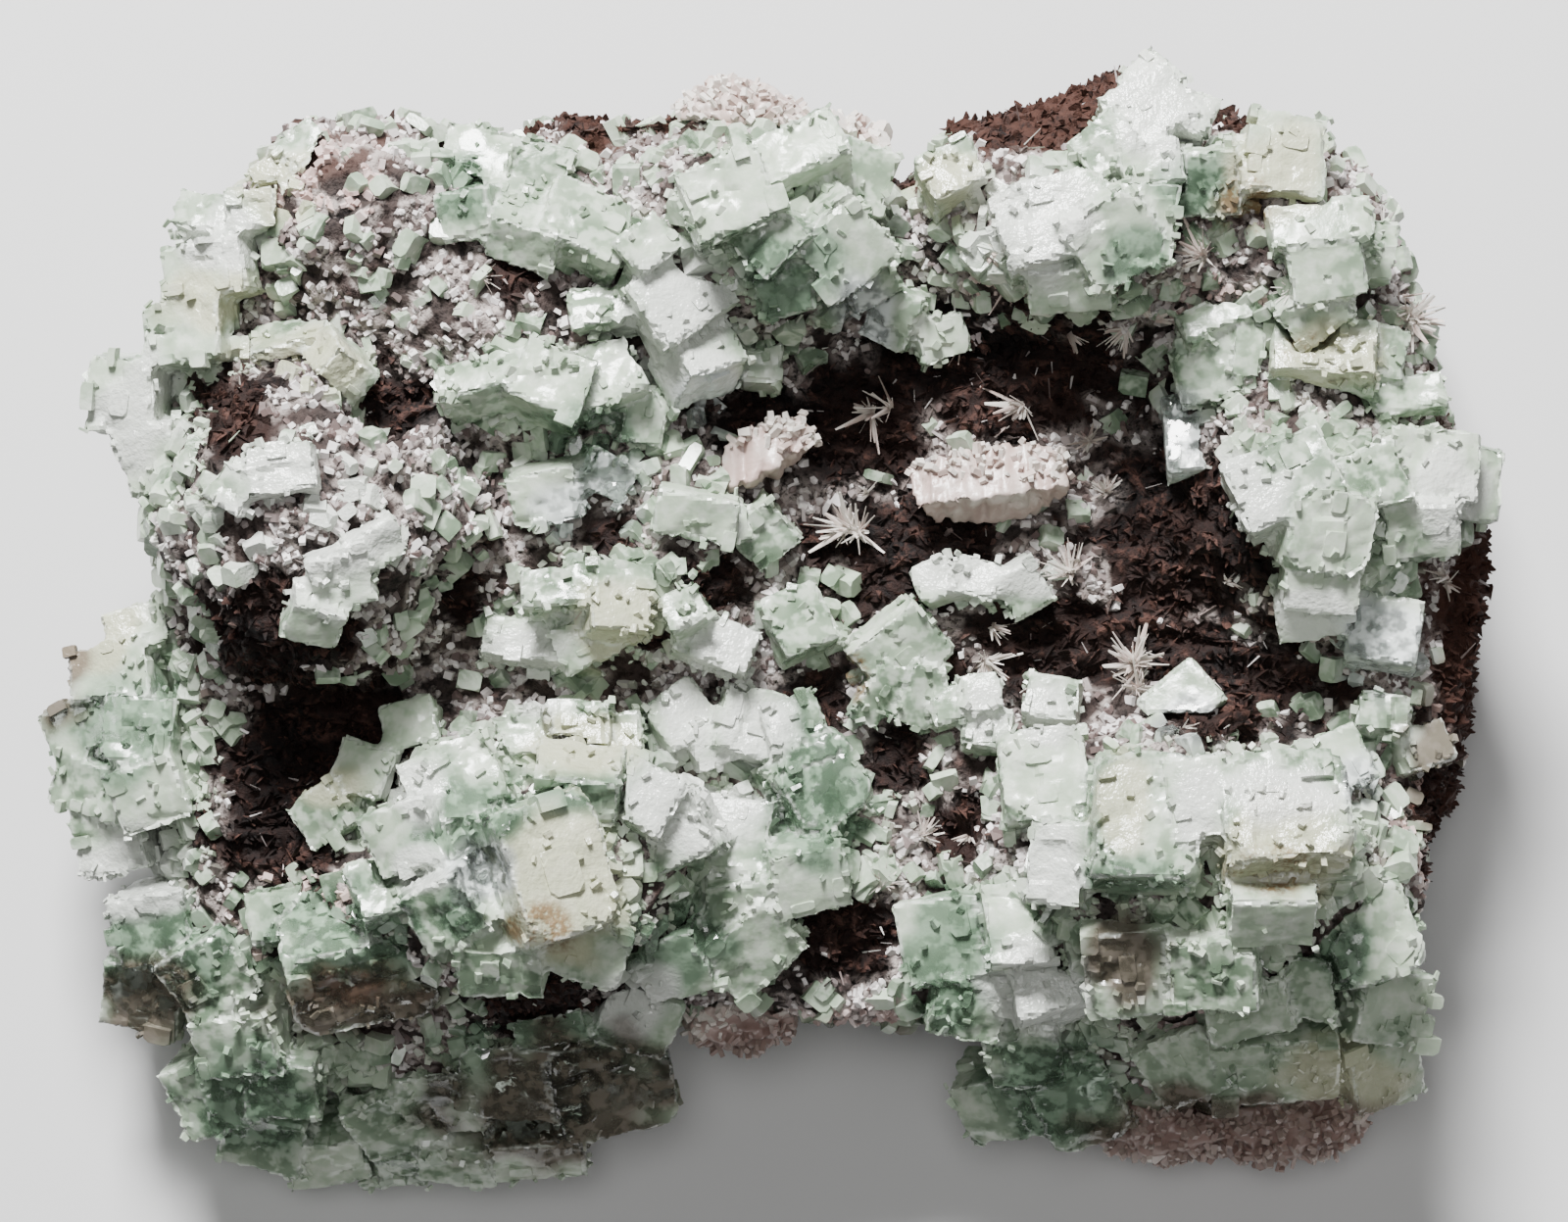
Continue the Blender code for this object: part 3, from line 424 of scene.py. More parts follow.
DARK_PATCHES = ellipses(
    (22, 24, 20, 9), (40, 8, 14, 10), (46, -7, 14, 8), (28, -3, 13, 7), (8, 19, 10, 9),
    (-2, 20, 6, 6), (12, 6, 12, 8), (-46, -13, 13, 9), (-51, -3, 10, 8), (-56, 20, 5, 5),
    (-40, 22, 5, 4), (-33, 2, 3, 4), (5, -32, 8, 6), (-26, -39, 9, 5), (71, -4, 6, 16),
    (24, 51, 19, 5), (-20, 52, 14, 5), (48, 51, 8, 3), (12, 46, 3, 4), (-28, 35, 4, 3),
    (-52, -22, 8, 8), (67, -19, 3.5, 10), (-17.5, 7, 3, 4), (-7.5, 2.5, 4.5, 4),
    (-13, -2.5, 2.2, 2.2), (3, -9.5, 4.5, 5.5), (11, -15, 5.5, 4), (18, -22, 4, 5),
    (17.5, -6, 4, 3), (27, -14, 3, 4),
)
PINK_PATCHES = ellipses(
    (5.5, 47, 5, 4), (23, 34, 5, 5), (54, 0, 6, 4), (50, -43, 12, 6), (3, -44, 17, 4),
    (-50, -30, 8, 7), (-47, 44, 8, 5), (45, 30, 7, 5), (66, -18, 6, 12),
)
MINT_PATCHES = ellipses(
    (-2, 38, 15, 12), (43, 24, 6, 5), (55, 10, 14, 12), (-20, 20, 10, 8), (-18, 0, 10, 8),
    (-63, 25, 9, 20), (-66, -18, 10, 20), (-25, -25, 25, 14), (0, -22, 14, 12), (45, -25, 20, 14),
    (-55, -45, 16, 12), (-22, -48, 18, 9), (25, -38, 12, 14), (28, 38, 12, 9),
)
RIND_PATCHES = ellipses(
    (25, 50, 22, 8), (-20, 50, 18, 5), (55, 45, 16, 8), (70, 5, 8, 40), (-47, 48, 10, 5),
)
TONE_PATCHES = {
    "white": ellipses(
        (-57, 38, 5, 4), (-10.5, 30, 7, 9), (-9, 25, 5, 4.5), (25.5, 40, 8, 7), (38.5, 51, 6, 7),
        (47, 11, 6, 7), (54, 0, 6, 4), (20.5, -10, 3.5, 4), (42, -19.5, 3.5, 5.5),
        (50.8, -18.5, 8, 3.5), (27.5, -26, 4, 5), (26, -39, 6, 6), (-37.5, -18.5, 3.2, 4),
        (-37, -26.5, 3.5, 3), (-66, 20, 5, 7), (-9, -20, 8, 6), (-25.5, -8.6, 3, 3),
        (-26, -4, 6, 2.6), (-6, -5, 6, 5), (-10, -11, 4, 5), (-3, -12, 5, 5), (27, -10.5, 4, 4),
        (-49, 9.5, 12, 12), (20, 4, 9, 3.5), (-67, -27, 8, 6), (-15, -40, 5, 4), (68, 12, 4, 5),
    ),
    "cream": ellipses(
        (-58, 32, 7, 3.6), (-49.5, 25, 8, 5), (-22.5, -28, 8.5, 9.5), (-20.5, -13.5, 7, 4),
        (-71, -3, 6, 5), (50, 45, 6, 6), (17.5, 43, 5, 4.5), (-51.5, 43, 4.5, 5),
        (50.5, -24, 8, 7), (56, 26, 7, 4), (-46, -18, 4, 3), (56, -48, 7, 5), (-17, -1.5, 5, 7),
        (35, -20, 4, 6),
    ),
    # deep green, with some patches placed as painted shade on crystals in shadow
    "deep": ellipses(
        (-32, -22, 8, 7), (-33, -30.5, 4, 3.5), (-21, -18.5, 6, 3), (-11, -34, 7, 6),
        (3, -18, 7, 11), (35, -27, 7, 3), (33, -20, 3, 6), (57, -35, 4, 4), (35.5, 36, 4, 5),
        (41.5, 44, 5, 4), (-44, -34, 10, 8), (-24.5, -47, 14, 9), (-64, -34, 9, 9),
        (-68, -12, 7, 8), (17, -35, 6, 9), (27.5, -49, 8, 7), (1, 34, 6, 6), (-33, 43, 4, 5),
        (-55, -50, 8, 7), (-20, 18, 6, 4),
    ),
    "stain": ellipses(
        (7, -6.5, 2.4, 2.8), (50, -27, 5, 3), (-44, -38.5, 8, 3), (46.5, 42, 3.5, 3.5),
        (-25, -32, 5, 3), (53, 27, 4, 1.5),
    ),
    # brown along the lower and side edges: partly brown rock seen through, partly painted shade
    "brown": ellipses(
        (-22, -50, 16, 8), (-44, -40, 10, 4.5), (46, -53, 18, 5), (35, -35, 5, 6),
        (69, -15, 6, 13), (-65, -40, 6, 6), (-74, -5, 4, 8), (2, -45, 14, 4),
    ),
    "clear": ellipses(
        (61, -3.5, 5.5, 5.5), (58.5, -17, 2.5, 3.4), (40, 17, 3.4, 6.5), (41.7, -11.7, 4, 4),
        (-31, -26.8, 4, 4), (-18, 13, 4, 4), (-7.5, 21.5, 4, 3.5), (8, 30, 4, 5), (-21, 10, 5, 4),
    ),
}


print("patches:", len(DARK_PATCHES), "dark,", sum(map(len, TONE_PATCHES.values())), "of tones")

# %% Reading the map
EDGE_SOFTNESS = 0.35
EDGE_RAGGED = 0.45
RAGGED_PITCH = 4.0


def seen_from_eye(points):
    """Plan millimetres at which the eye point sees each point."""
    share = (EYE.z - PLAN_LEVEL) / (EYE.z - points[:, 2])
    across = (points[:, 0] - EYE.x) * share
    along = (points[:, 1] - EYE.y) * share
    return np.stack((across, along), axis=1) / MM


def noise_at(points, pitch):
    """Soft noise at each point, with waves of the given pitch in millimetres."""
    return np.array([noise.noise(Vector(point) / (pitch * MM)) for point in points])


def fade(values, width):
    """0 below nothing, 1 from the width on, and even between them."""
    return np.clip(values / width, 0, 1)


def keep_number(mesh, name, values, domain="POINT"):
    """Keeps one number for each point or face under a name."""
    layer = mesh.attributes.new(name, "FLOAT", domain)
    layer.data.foreach_set("value", np.asarray(values, dtype=np.float32))


def cover(points, patches, wander):
    """How far each point is inside the patches, from 0 to 1."""
    plan = seen_from_eye(points)
    most = np.zeros(len(points))
    for patch in patches:
        far = np.hypot((plan[:, 0] - patch.x) / patch.across, (plan[:, 1] - patch.y) / patch.along)
        most = np.maximum(most, fade(1.0 - far + wander * EDGE_RAGGED, EDGE_SOFTNESS))
    return most


def keep_tones(mesh):
    """Keeps how white, cream, deep, stained, brown and clear each point of a mesh is. Deep and brown are
    partly painted shade.
    """
    points = points_of(mesh)
    wander = noise_at(points, RAGGED_PITCH)
    for name, patches in TONE_PATCHES.items():
        keep_number(mesh, name, cover(points, patches, wander))


# %% [markdown]
# ## The basalt
#
# The solid gives the broad broken faces. Real basalt is hackly between them: small ledges,
# gas pits and sharp filigree ridges in the hollow. A welded copy is divided finely and each
# point moves along its normal by ridged noise and pits, by flat ledges in the dark hollow
# and by soft lumps under the crust.


# %% Helpers for meshes
WELD = 0.001 * MM


def link(obj):
    bpy.context.scene.collection.objects.link(obj)
    return obj


def object_from(mesh, name):
    return link(bpy.data.objects.new(name, mesh))


def mesh_from(bm, name):
    """Closes a mesh under construction and keeps it as a plain mesh."""
    mesh = bpy.data.meshes.new(name)
    bm.to_mesh(mesh)
    bm.free()
    return mesh


def welded_bmesh(node):
    """A copy of a solid whose loose triangles share their points again."""
    bm = bmesh.new()
    bm.from_mesh(NODES[node].data)
    bmesh.ops.remove_doubles(bm, verts=bm.verts, dist=WELD)
    return bm


def evaluated(obj):
    """A plain mesh of what the modifiers show. The object itself is removed."""
    bpy.context.view_layer.update()
    graph = bpy.context.evaluated_depsgraph_get()
    mesh = bpy.data.meshes.new_from_object(obj.evaluated_get(graph))
    bpy.data.objects.remove(obj)
    return mesh


def points_of(mesh):
    flat = np.empty(len(mesh.vertices) * 3)
    mesh.vertices.foreach_get("co", flat)
    return flat.reshape(-1, 3)


def normals_of(mesh):
    return np.array([vertex.normal for vertex in mesh.vertices])


def move_points(mesh, points):
    mesh.vertices.foreach_set("co", points.ravel())
    mesh.update()


def keep_way(mesh, ways, domain="POINT"):
    """Keeps the direction in which a copy lies on each point or face."""
    layer = mesh.attributes.new("along", "FLOAT_VECTOR", domain)
    layer.data.foreach_set("vector", np.asarray(ways, dtype=np.float32).ravel())


def finish_piece(mesh, name, material):
    """Turns a mesh into a finished piece that rides on the specimen."""
    mesh.materials.clear()
    mesh.materials.append(material)
    piece = object_from(mesh, name)
    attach(piece, "root")
    return piece


print("mesh helpers ready")

# %% The fine rock surface
ROCK_LEVELS = 3
HACKLE_PITCH = 3.4
HACKLE_DEPTH = 0.5
LEDGE_PITCH = Vector((7.5, 2.1, 2.1))
LEDGE_DEPTH = 1.5
PIT_PITCH = 4.2
PIT_DEPTH = 1.0
PIT_REACH = 0.36
BASE_CALM = 3.0
MOST_OUT = 1.3
CRUST_LUMP_PITCH = 2.5
CRUST_LUMP_DEPTH = 1.3
# how far a point must stand out before it takes the painted crest highlight
CREST_HIGHLIGHT_START = 0.1
CREST_HIGHLIGHT_WIDTH = 0.9


def rock_shift(point, ledge_share):
    """How far one point moves out, in millimetres."""
    spot = Vector(point) / MM
    hackle = noise.ridged_multi_fractal(spot / HACKLE_PITCH, 1.0, 2.1, 4, 1.0, 2.0) - 1.0
    squashed = Vector(a / b for a, b in zip(spot, LEDGE_PITCH))
    ledge = noise.ridged_multi_fractal(squashed, 1.0, 2.0, 3, 1.0, 2.0) - 1.1
    near = noise.voronoi(spot / PIT_PITCH)[0][0]
    pit = max(0.0, PIT_REACH - near) / PIT_REACH
    lump = 0.45 - noise.voronoi(spot / CRUST_LUMP_PITCH)[0][0]
    shift = hackle * HACKLE_DEPTH + ledge * LEDGE_DEPTH * ledge_share - pit * PIT_DEPTH
    shift += lump * CRUST_LUMP_DEPTH * (1.0 - ledge_share)
    calm = min(1.0, max(0.0, spot.z / BASE_CALM))
    return min(MOST_OUT, shift) * calm


def fine_rock():
    """The solid's surface, divided finely and roughened."""
    obj = object_from(mesh_from(welded_bmesh("basalt_matrix"), "rock"), "rock")
    finer = obj.modifiers.new("finer", "SUBSURF")
    finer.subdivision_type = "SIMPLE"
    finer.levels = ROCK_LEVELS
    finer.render_levels = ROCK_LEVELS
    mesh = evaluated(obj)
    mesh.shade_smooth()
    points = points_of(mesh)
    dark = cover(points, DARK_PATCHES, noise_at(points, RAGGED_PITCH))
    shifts = np.array([rock_shift(point, share) for point, share in zip(points, dark)])
    move_points(mesh, points + normals_of(mesh) * shifts[:, None] * MM)
    # how far each point stands out, which the basalt finish paints as a crest highlight
    keep_number(mesh, "crest", fade(shifts - CREST_HIGHLIGHT_START, CREST_HIGHLIGHT_WIDTH))
    return mesh


rock_mesh = fine_rock()
print("fine rock:", len(rock_mesh.polygons), "faces")


# %% [markdown]
# ## Where crust, druse and flakes grow
#
# Each point of the fine rock keeps eight numbers. Four say how thickly shards, crust, green
# druse and loose needles grow there, and the scatter recipe reads them. The other four say
# how mint, pink, dusty or weathered it is, and the finishes read those.

# %% Numbers kept on the rock
FAR_EDGE, FAR_WIDTH = 49.0, 3.0
RIGHT_EDGE, RIGHT_WIDTH = 68.0, 4.0
FRONT_EDGE, LEFT_EDGE = -36, -56
SIDE_LEVEL, SIDE_WIDTH = 16.0, 6.0
UNDER_LEVEL, UNDER_WIDTH = 4.0, 2.0
STEEP_START, STEEP_WIDTH, STEEP_SHARE = 0.15, 0.3, 0.3
FLOOR_CLEARANCE, FLOOR_WIDTH = 1.2, 1.0
SIDE_FLAKES = 0.25
BREAK_PITCH = 2.2
BREAK_START, BREAK_WIDTH, BREAK_DEPTH = 0.02, 0.12, 0.85


def bareness(points, normals, dark):
    """How bare the rock is, and how much of that comes from its far and right sides."""
    plan = seen_from_eye(points)
    height = points[:, 2] / MM
    far_side = fade(plan[:, 1] - FAR_EDGE, FAR_WIDTH)
    right_side = fade(plan[:, 0] - RIGHT_EDGE, RIGHT_WIDTH)
    bare_side = np.maximum(far_side, right_side)
    front_or_left = (plan[:, 1] < FRONT_EDGE) | (plan[:, 0] < LEFT_EDGE)
    under = fade(UNDER_LEVEL - height, UNDER_WIDTH)
    low = np.where(front_or_left, under, fade(SIDE_LEVEL - height, SIDE_WIDTH))
    steep = fade(STEEP_START - normals[:, 2], STEEP_WIDTH)
    steep = steep * np.where(front_or_left, STEEP_SHARE, 1.0)
    return np.maximum.reduce((dark, bare_side, low, steep)), bare_side


def surface_numbers(mesh):
    """Keeps the eight numbers and returns how much crust each point has."""
    points = points_of(mesh)
    normals = normals_of(mesh)
    wander = noise_at(points, RAGGED_PITCH)
    dark = cover(points, DARK_PATCHES, wander)
    bare, bare_side = bareness(points, normals, dark)
    breaks = fade(noise_at(points, BREAK_PITCH) - BREAK_START, BREAK_WIDTH)
    off_floor = fade(points[:, 2] / MM - FLOOR_CLEARANCE, FLOOR_WIDTH)
    crust = (1.0 - bare) * (1.0 - BREAK_DEPTH * breaks) * off_floor
    mint = cover(points, MINT_PATCHES, wander)
    keep_number(mesh, "flaky", np.maximum(dark, bare * SIDE_FLAKES) * off_floor)
    keep_number(mesh, "crust", crust)
    keep_number(mesh, "druse", crust * mint)
    keep_number(mesh, "mint", mint)
    keep_number(mesh, "pink", cover(points, PINK_PATCHES, wander))
    keep_number(mesh, "dust", np.clip(crust * 1.2 - 0.1, 0, 1))
    keep_number(mesh, "rind", np.maximum(cover(points, RIND_PATCHES, wander), bare_side))
    keep_number(mesh, "sparse", dark * np.clip(normals[:, 2], 0, 1))
    return crust


crust_share = surface_numbers(rock_mesh)
print("share of the rock under crust:", round(float(crust_share.mean()), 2))
rock = finish_piece(rock_mesh.copy(), "basalt_surface", BASALT)
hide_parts("basalt_matrix")

# %% [markdown]
# ## Small forms that repeat
#
# A growth step is a low square block with its top corners cut, as apophyllite ends, and a
# plate is one that is sunk into the crystal. A grain is a cruder block, a bead is round, a
# needle is a four-sided spike and a shard is a leaning three-sided one. Each is of size one
# and has only a few faces, because it is repeated thousands of times.


# %% Forms
STEP_CORNER = 0.2
PLATE_SUNK = 0.4
GRAIN_TOP = 0.72
BEAD_RADIUS = 0.6
NEEDLE_TIP = 0.16
SHARD_TIP = 0.1
SHARD_RISE = 0.35
SHARD_LEAN = 0.3


def form_from(bm, name):
    bmesh.ops.recalc_face_normals(bm, faces=bm.faces)
    return object_from(mesh_from(bm, name), name)


def step_form():
    bm = bmesh.new()
    bmesh.ops.create_cube(bm, size=1.0)
    top = [vertex for vertex in bm.verts if vertex.co.z > 0]
    bmesh.ops.bevel(bm, geom=top, offset=STEP_CORNER, segments=1, affect="VERTICES")
    return form_from(bm, "step_form")


def plate_form():
    """A step that reaches down into the crystal, so that only its top stands out."""
    plate = step_form()
    plate.data.transform(Matrix.Translation((0, 0, -PLATE_SUNK)))
    return plate


def grain_form():
    bm = bmesh.new()
    bmesh.ops.create_cube(bm, size=1.0)
    for vertex in bm.verts:
        vertex.co.xy *= GRAIN_TOP if vertex.co.z > 0 else 1.0
    return form_from(bm, "grain_form")


def bead_form():
    bm = bmesh.new()
    bmesh.ops.create_icosphere(bm, subdivisions=1, radius=BEAD_RADIUS)
    return form_from(bm, "bead_form")


def spike(sides, tip, rise):
    """A pointed bar whose middle stands so far above the surface."""
    bm = bmesh.new()
    up = Matrix.Translation((0, 0, rise))
    bmesh.ops.create_cone(
        bm, cap_ends=True, segments=sides, radius1=0.5, radius2=tip, depth=1.0, matrix=up)
    return bm


def needle_form():
    return form_from(spike(4, NEEDLE_TIP, 0.5), "needle_form")


def shard_form():
    bm = spike(3, SHARD_TIP, SHARD_RISE)
    for vertex in bm.verts:
        vertex.co.x += SHARD_LEAN * vertex.co.z
    return form_from(bm, "shard_form")


FORMS = {
    "step": step_form(),
    "plate": plate_form(),
    "grain": grain_form(),
    "bead": bead_form(),
    "needle": needle_form(),
    "shard": shard_form(),
}
print("forms:", ", ".join(FORMS))

# %% [markdown]
# ## The scatter recipe
#
# One Geometry Nodes recipe places a form on a surface: points are thrown on the faces, each
# gets a copy of the form that stands along the face's normal and in line with the direction
# kept on the face, and a little turn and size of its own. Copies keep a random tint.


# %% The recipe
INPUTS = (
    ("Surface", "NodeSocketGeometry", None),
    ("Form", "NodeSocketObject", None),
    ("Per square metre", "NodeSocketFloat", 1000.0),
    ("Where", "NodeSocketString", ""),
    ("Smallest", "NodeSocketVector", (1, 1, 1)),
    ("Largest", "NodeSocketVector", (1, 1, 1)),
    ("Tilt", "NodeSocketVector", (0, 0, 0)),
    ("Tint from the face", "NodeSocketFloat", 0.0),
    ("Seed", "NodeSocketInt", 0),
    ("Finish", "NodeSocketMaterial", None),
)


def scatter_recipe():
    tree = bpy.data.node_groups.new("scatter_forms", "GeometryNodeTree")
    for name, kind, value in INPUTS:
        socket = tree.interface.new_socket(name=name, in_out="INPUT", socket_type=kind)
        if value is not None:
            socket.default_value = value
    tree.interface.new_socket(name="Grown", in_out="OUTPUT", socket_type="NodeSocketGeometry")
    bench = Bench(tree)
    given = bench.node("NodeGroupInput")
    where = bench.node("GeometryNodeInputNamedAttribute", {"data_type": "FLOAT"}, {"Name": given["Where"]})
    thrown = bench.node("GeometryNodeDistributePointsOnFaces", {"distribute_method": "RANDOM"}, {
        "Mesh": given["Surface"],
        "Density": where["Attribute"] * given["Per square metre"],
        "Seed": given["Seed"],
    })
    along = bench.node("GeometryNodeInputNamedAttribute", {"data_type": "FLOAT_VECTOR"}, {"Name": "along"})
    room = bench.node("GeometryNodeInputNamedAttribute", {"data_type": "FLOAT"}, {"Name": "room"})
    upright = bench.node(
        "FunctionNodeAxesToRotation",
        {"primary_axis": "Z", "secondary_axis": "X"},
        {"Primary Axis": thrown["Normal"], "Secondary Axis": along["Attribute"]},
    )
    back = bench.node("ShaderNodeVectorMath", {"operation": "SCALE"}, {0: given["Tilt"], "Scale": -1.0})
    angles = bench.node(
        "FunctionNodeRandomValue",
        {"data_type": "FLOAT_VECTOR"},
        {"Min": back["Vector"], "Max": given["Tilt"], "Seed": given["Seed"] + 1},
    )
    turned = bench.node(
        "FunctionNodeRotateRotation",
        {"rotation_space": "LOCAL"},
        {"Rotation": upright["Rotation"], "Rotate By": bench.node(
            "FunctionNodeEulerToRotation", None, {"Euler": angles["Value"]})["Rotation"]},
    )
    sizes = bench.node(
        "FunctionNodeRandomValue",
        {"data_type": "FLOAT_VECTOR"},
        {"Min": given["Smallest"], "Max": given["Largest"], "Seed": given["Seed"] + 2},
    )
    fitted = bench.node("ShaderNodeVectorMath", {"operation": "SCALE"}, {
        0: sizes["Value"], "Scale": room["Attribute"]})
    form = bench.node("GeometryNodeObjectInfo", {"transform_space": "ORIGINAL"}, {
        "Object": given["Form"], "As Instance": True})
    copies = bench.node("GeometryNodeInstanceOnPoints", None, {
        "Points": thrown["Points"],
        "Instance": form["Geometry"],
        "Rotation": turned["Rotation"],
        "Scale": fitted["Vector"],
    })
    drawn = bench.node("FunctionNodeRandomValue", {"data_type": "FLOAT"}, {"Seed": given["Seed"] + 3})
    kept = bench.node("GeometryNodeInputNamedAttribute", {"data_type": "FLOAT"}, {"Name": "tint"})
    share = given["Tint from the face"]
    tint = kept["Attribute"] * share + drawn["Value"] * (1.0 - share)
    tinted = bench.node(
        "GeometryNodeStoreNamedAttribute",
        {"data_type": "FLOAT", "domain": "INSTANCE"},
        {"Geometry": copies["Instances"], "Name": "tint", "Value": tint},
    )
    real = bench.node("GeometryNodeRealizeInstances", None, {"Geometry": tinted["Geometry"]})
    finished = bench.node("GeometryNodeSetMaterial", None, {
        "Geometry": real["Geometry"], "Material": given["Finish"]})
    bench.node("NodeGroupOutput", None, {"Grown": finished["Geometry"]})
    return tree


SCATTER = scatter_recipe()
SOCKET_OF = {
    item.name: item.identifier
    for item in SCATTER.interface.items_tree
    if item.in_out == "INPUT"
}
print("the recipe has", len(SCATTER.nodes), "nodes and", len(SOCKET_OF), "inputs")


# %% Running the recipe
def grow(surface_mesh, name, form, values, material):
    """Runs the recipe on a surface and makes the result a finished piece."""
    host = object_from(surface_mesh, name + "_host")
    modifier = host.modifiers.new("grow", "NODES")
    modifier.node_group = SCATTER
    modifier[SOCKET_OF["Form"]] = FORMS[form]
    modifier[SOCKET_OF["Finish"]] = material
    for label, value in values.items():
        modifier[SOCKET_OF[label]] = value
    mesh = evaluated(host)
    points = points_of(mesh)
    points[:, 2] = np.maximum(points[:, 2], 0.0)
    move_points(mesh, points)
    if material is not BASALT:
        keep_tones(mesh)
    piece = finish_piece(mesh, name, material)
    print(name, len(mesh.polygons), "faces")
    return piece


# %% [markdown]
# ## The crystals
#
# Each crystal group keeps the form of its solid. A fine copy is etched along the way that
# each face runs: square terraces of two sizes that only go inward, and rims that are
# nibbled. Where the solid is clean, the terraces are shallower, so that the face can still
# catch light.

# %% Flat faces and fine copies
VOXEL = 0.45 * MM
COPLANAR = math.radians(2)


def flat_faces(node):
    """A copy of a solid in which coplanar triangles are one face."""
    bm = welded_bmesh(node)
    bmesh.ops.dissolve_limit(bm, angle_limit=COPLANAR, verts=bm.verts, edges=bm.edges)
    return bm


def way_of(face):
    """The direction of a face's longest edge."""
    edge = max(face.edges, key=lambda item: item.calc_length())
    return (edge.verts[1].co - edge.verts[0].co).normalized()


def voxel_copy(node, voxel):
    """A fine, even copy of a solid, whose points are one voxel apart."""
    obj = object_from(mesh_from(welded_bmesh(node), node + "_fine"), node + "_fine")
    remesh = obj.modifiers.new("remesh", "REMESH")
    remesh.mode = "VOXEL"
    remesh.voxel_size = voxel
    return evaluated(obj)


def chance(*numbers):
    """A repeatable random number from 0 to 1 for each set of whole numbers."""
    total = sum(number * factor for number, factor in zip(numbers, (127.1, 311.7, 74.7)))
    return np.modf(np.abs(np.sin(total) * 43758.5453))[0]


print("crystal groups:", len(nodes_named("apophyllite")))

# %% Etching
TERRACES = ((3.1, 0.55), (1.3, 0.28))
TERRACE_WAVE = 0.3
ROW_SHIFT = 0.37
SHORTEST_CELL, CELL_SPREAD = 0.7, 0.8
SMOOTH_PITCH = 5.0
ROUGH_GAIN, ROUGH_LEAST = 1.7, 0.08
RIM_DEPTH = 0.55
RIM_PITCH = 0.7
RIM_BIAS = 0.25
RIM_COSINE = 0.94
SHARP_ANGLE = math.radians(26)
CLEAN_SHARE = 0.3
CLEAN_NODES = {"apophyllite_clear_cube", "apophyllite_valley_blade", "apophyllite_lilac_tablet"}


def etch(mesh, node):
    """Sinks square terraces into the faces of a fine copy and nibbles its rims."""
    flat = flat_faces(node)
    flat.faces.ensure_lookup_table()
    tree = BVHTree.FromBMesh(flat)
    points = points_of(mesh)
    normals = normals_of(mesh)
    nearest = [tree.find_nearest(Vector(point))[2] for point in points]
    frames = [(face.normal.copy(), way_of(face)) for face in flat.faces]
    flat.free()
    up = np.array([frames[index][0] for index in nearest])
    way = np.array([frames[index][1] for index in nearest])
    side = np.cross(up, way)
    along = (points * way).sum(axis=1) / MM
    across = (points * side).sum(axis=1) / MM
    rough = np.clip(0.5 + noise_at(points, SMOOTH_PITCH) * ROUGH_GAIN, ROUGH_LEAST, 1.0)
    rough *= CLEAN_SHARE if node in CLEAN_NODES else 1.0
    depth = np.zeros(len(points))
    for pitch, most in TERRACES:
        row = np.floor(across / pitch + TERRACE_WAVE * np.sin(along / pitch))
        length = pitch * (SHORTEST_CELL + CELL_SPREAD * chance(row, index_of(node)))
        cell = np.floor(along / length + row * ROW_SHIFT)
        depth += most * chance(row, cell, np.array(nearest)) * rough
    at_rim = (normals * up).sum(axis=1) < RIM_COSINE
    nibbled = np.clip(noise_at(points, RIM_PITCH) + RIM_BIAS, 0, 1)
    depth += np.where(at_rim, nibbled * RIM_DEPTH, 0.0)
    keep_number(mesh, "rim", np.where(at_rim, 1.0, 0.0))
    keep_number(mesh, "tint", chance(np.array(nearest), index_of(node) + 1))
    points -= normals * depth[:, None] * MM
    mesh.vertices.foreach_set("co", points.ravel())
    mesh.shade_smooth()
    mesh.set_sharp_from_angle(angle=SHARP_ANGLE)
    mesh.update()


# %% The crystal groups
CLEAR_NODES = {
    "apophyllite_clear_cube", "apophyllite_valley_blade", "apophyllite_lilac_tablet",
    "apophyllite_lower_grey", "apophyllite_grey_blades", "apophyllite_valley_grey",
    "apophyllite_bottom_plates", "apophyllite_lower_middle", "apophyllite_lower_edge",
    "apophyllite_centre_pale", "apophyllite_right_rim_small",
}


def make_crystals():
    total = 0
    for node in nodes_named("apophyllite"):
        mesh = voxel_copy(node, VOXEL)
        etch(mesh, node)
        keep_tones(mesh)
        total += len(mesh.polygons)
        finish = CLEAR_APOPHYLLITE if node in CLEAR_NODES else APOPHYLLITE
        piece = finish_piece(mesh, node.replace("apophyllite", "crystals"), finish)
        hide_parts(node)
    print("etched crystals:", total, "faces")


make_crystals()

# %% [markdown]
# ## Growth steps on the crystals
#
# Apophyllite grows as stacks of square plates that all face the same way. On the flat faces
# of a crystal a few plates stand in line with its longest edge, sized to the face. They
# reach down into the crystal, because a plate that only lay on it would look stuck on.
# Tiny crystals, like sugar, frost the faces in clumps.

# %% Growth steps
FACE_AT_LEAST = 4.0 * MM**2
UNDER_COSINE = -0.5
STEP_VALUES = {
    "Per square metre": 0.20e5,
    "Where": "here",
    "Smallest": (0.10, 0.10, 0.06),
    "Largest": (0.36, 0.32, 0.24),
    "Tilt": (0.06, 0.06, 0.06),
    "Tint from the face": 0.75,
}
SUGAR_PITCH = 3.0
SUGAR_START, SUGAR_WIDTH = 0.17, 0.2
LONG_EDGE = 2 * MM


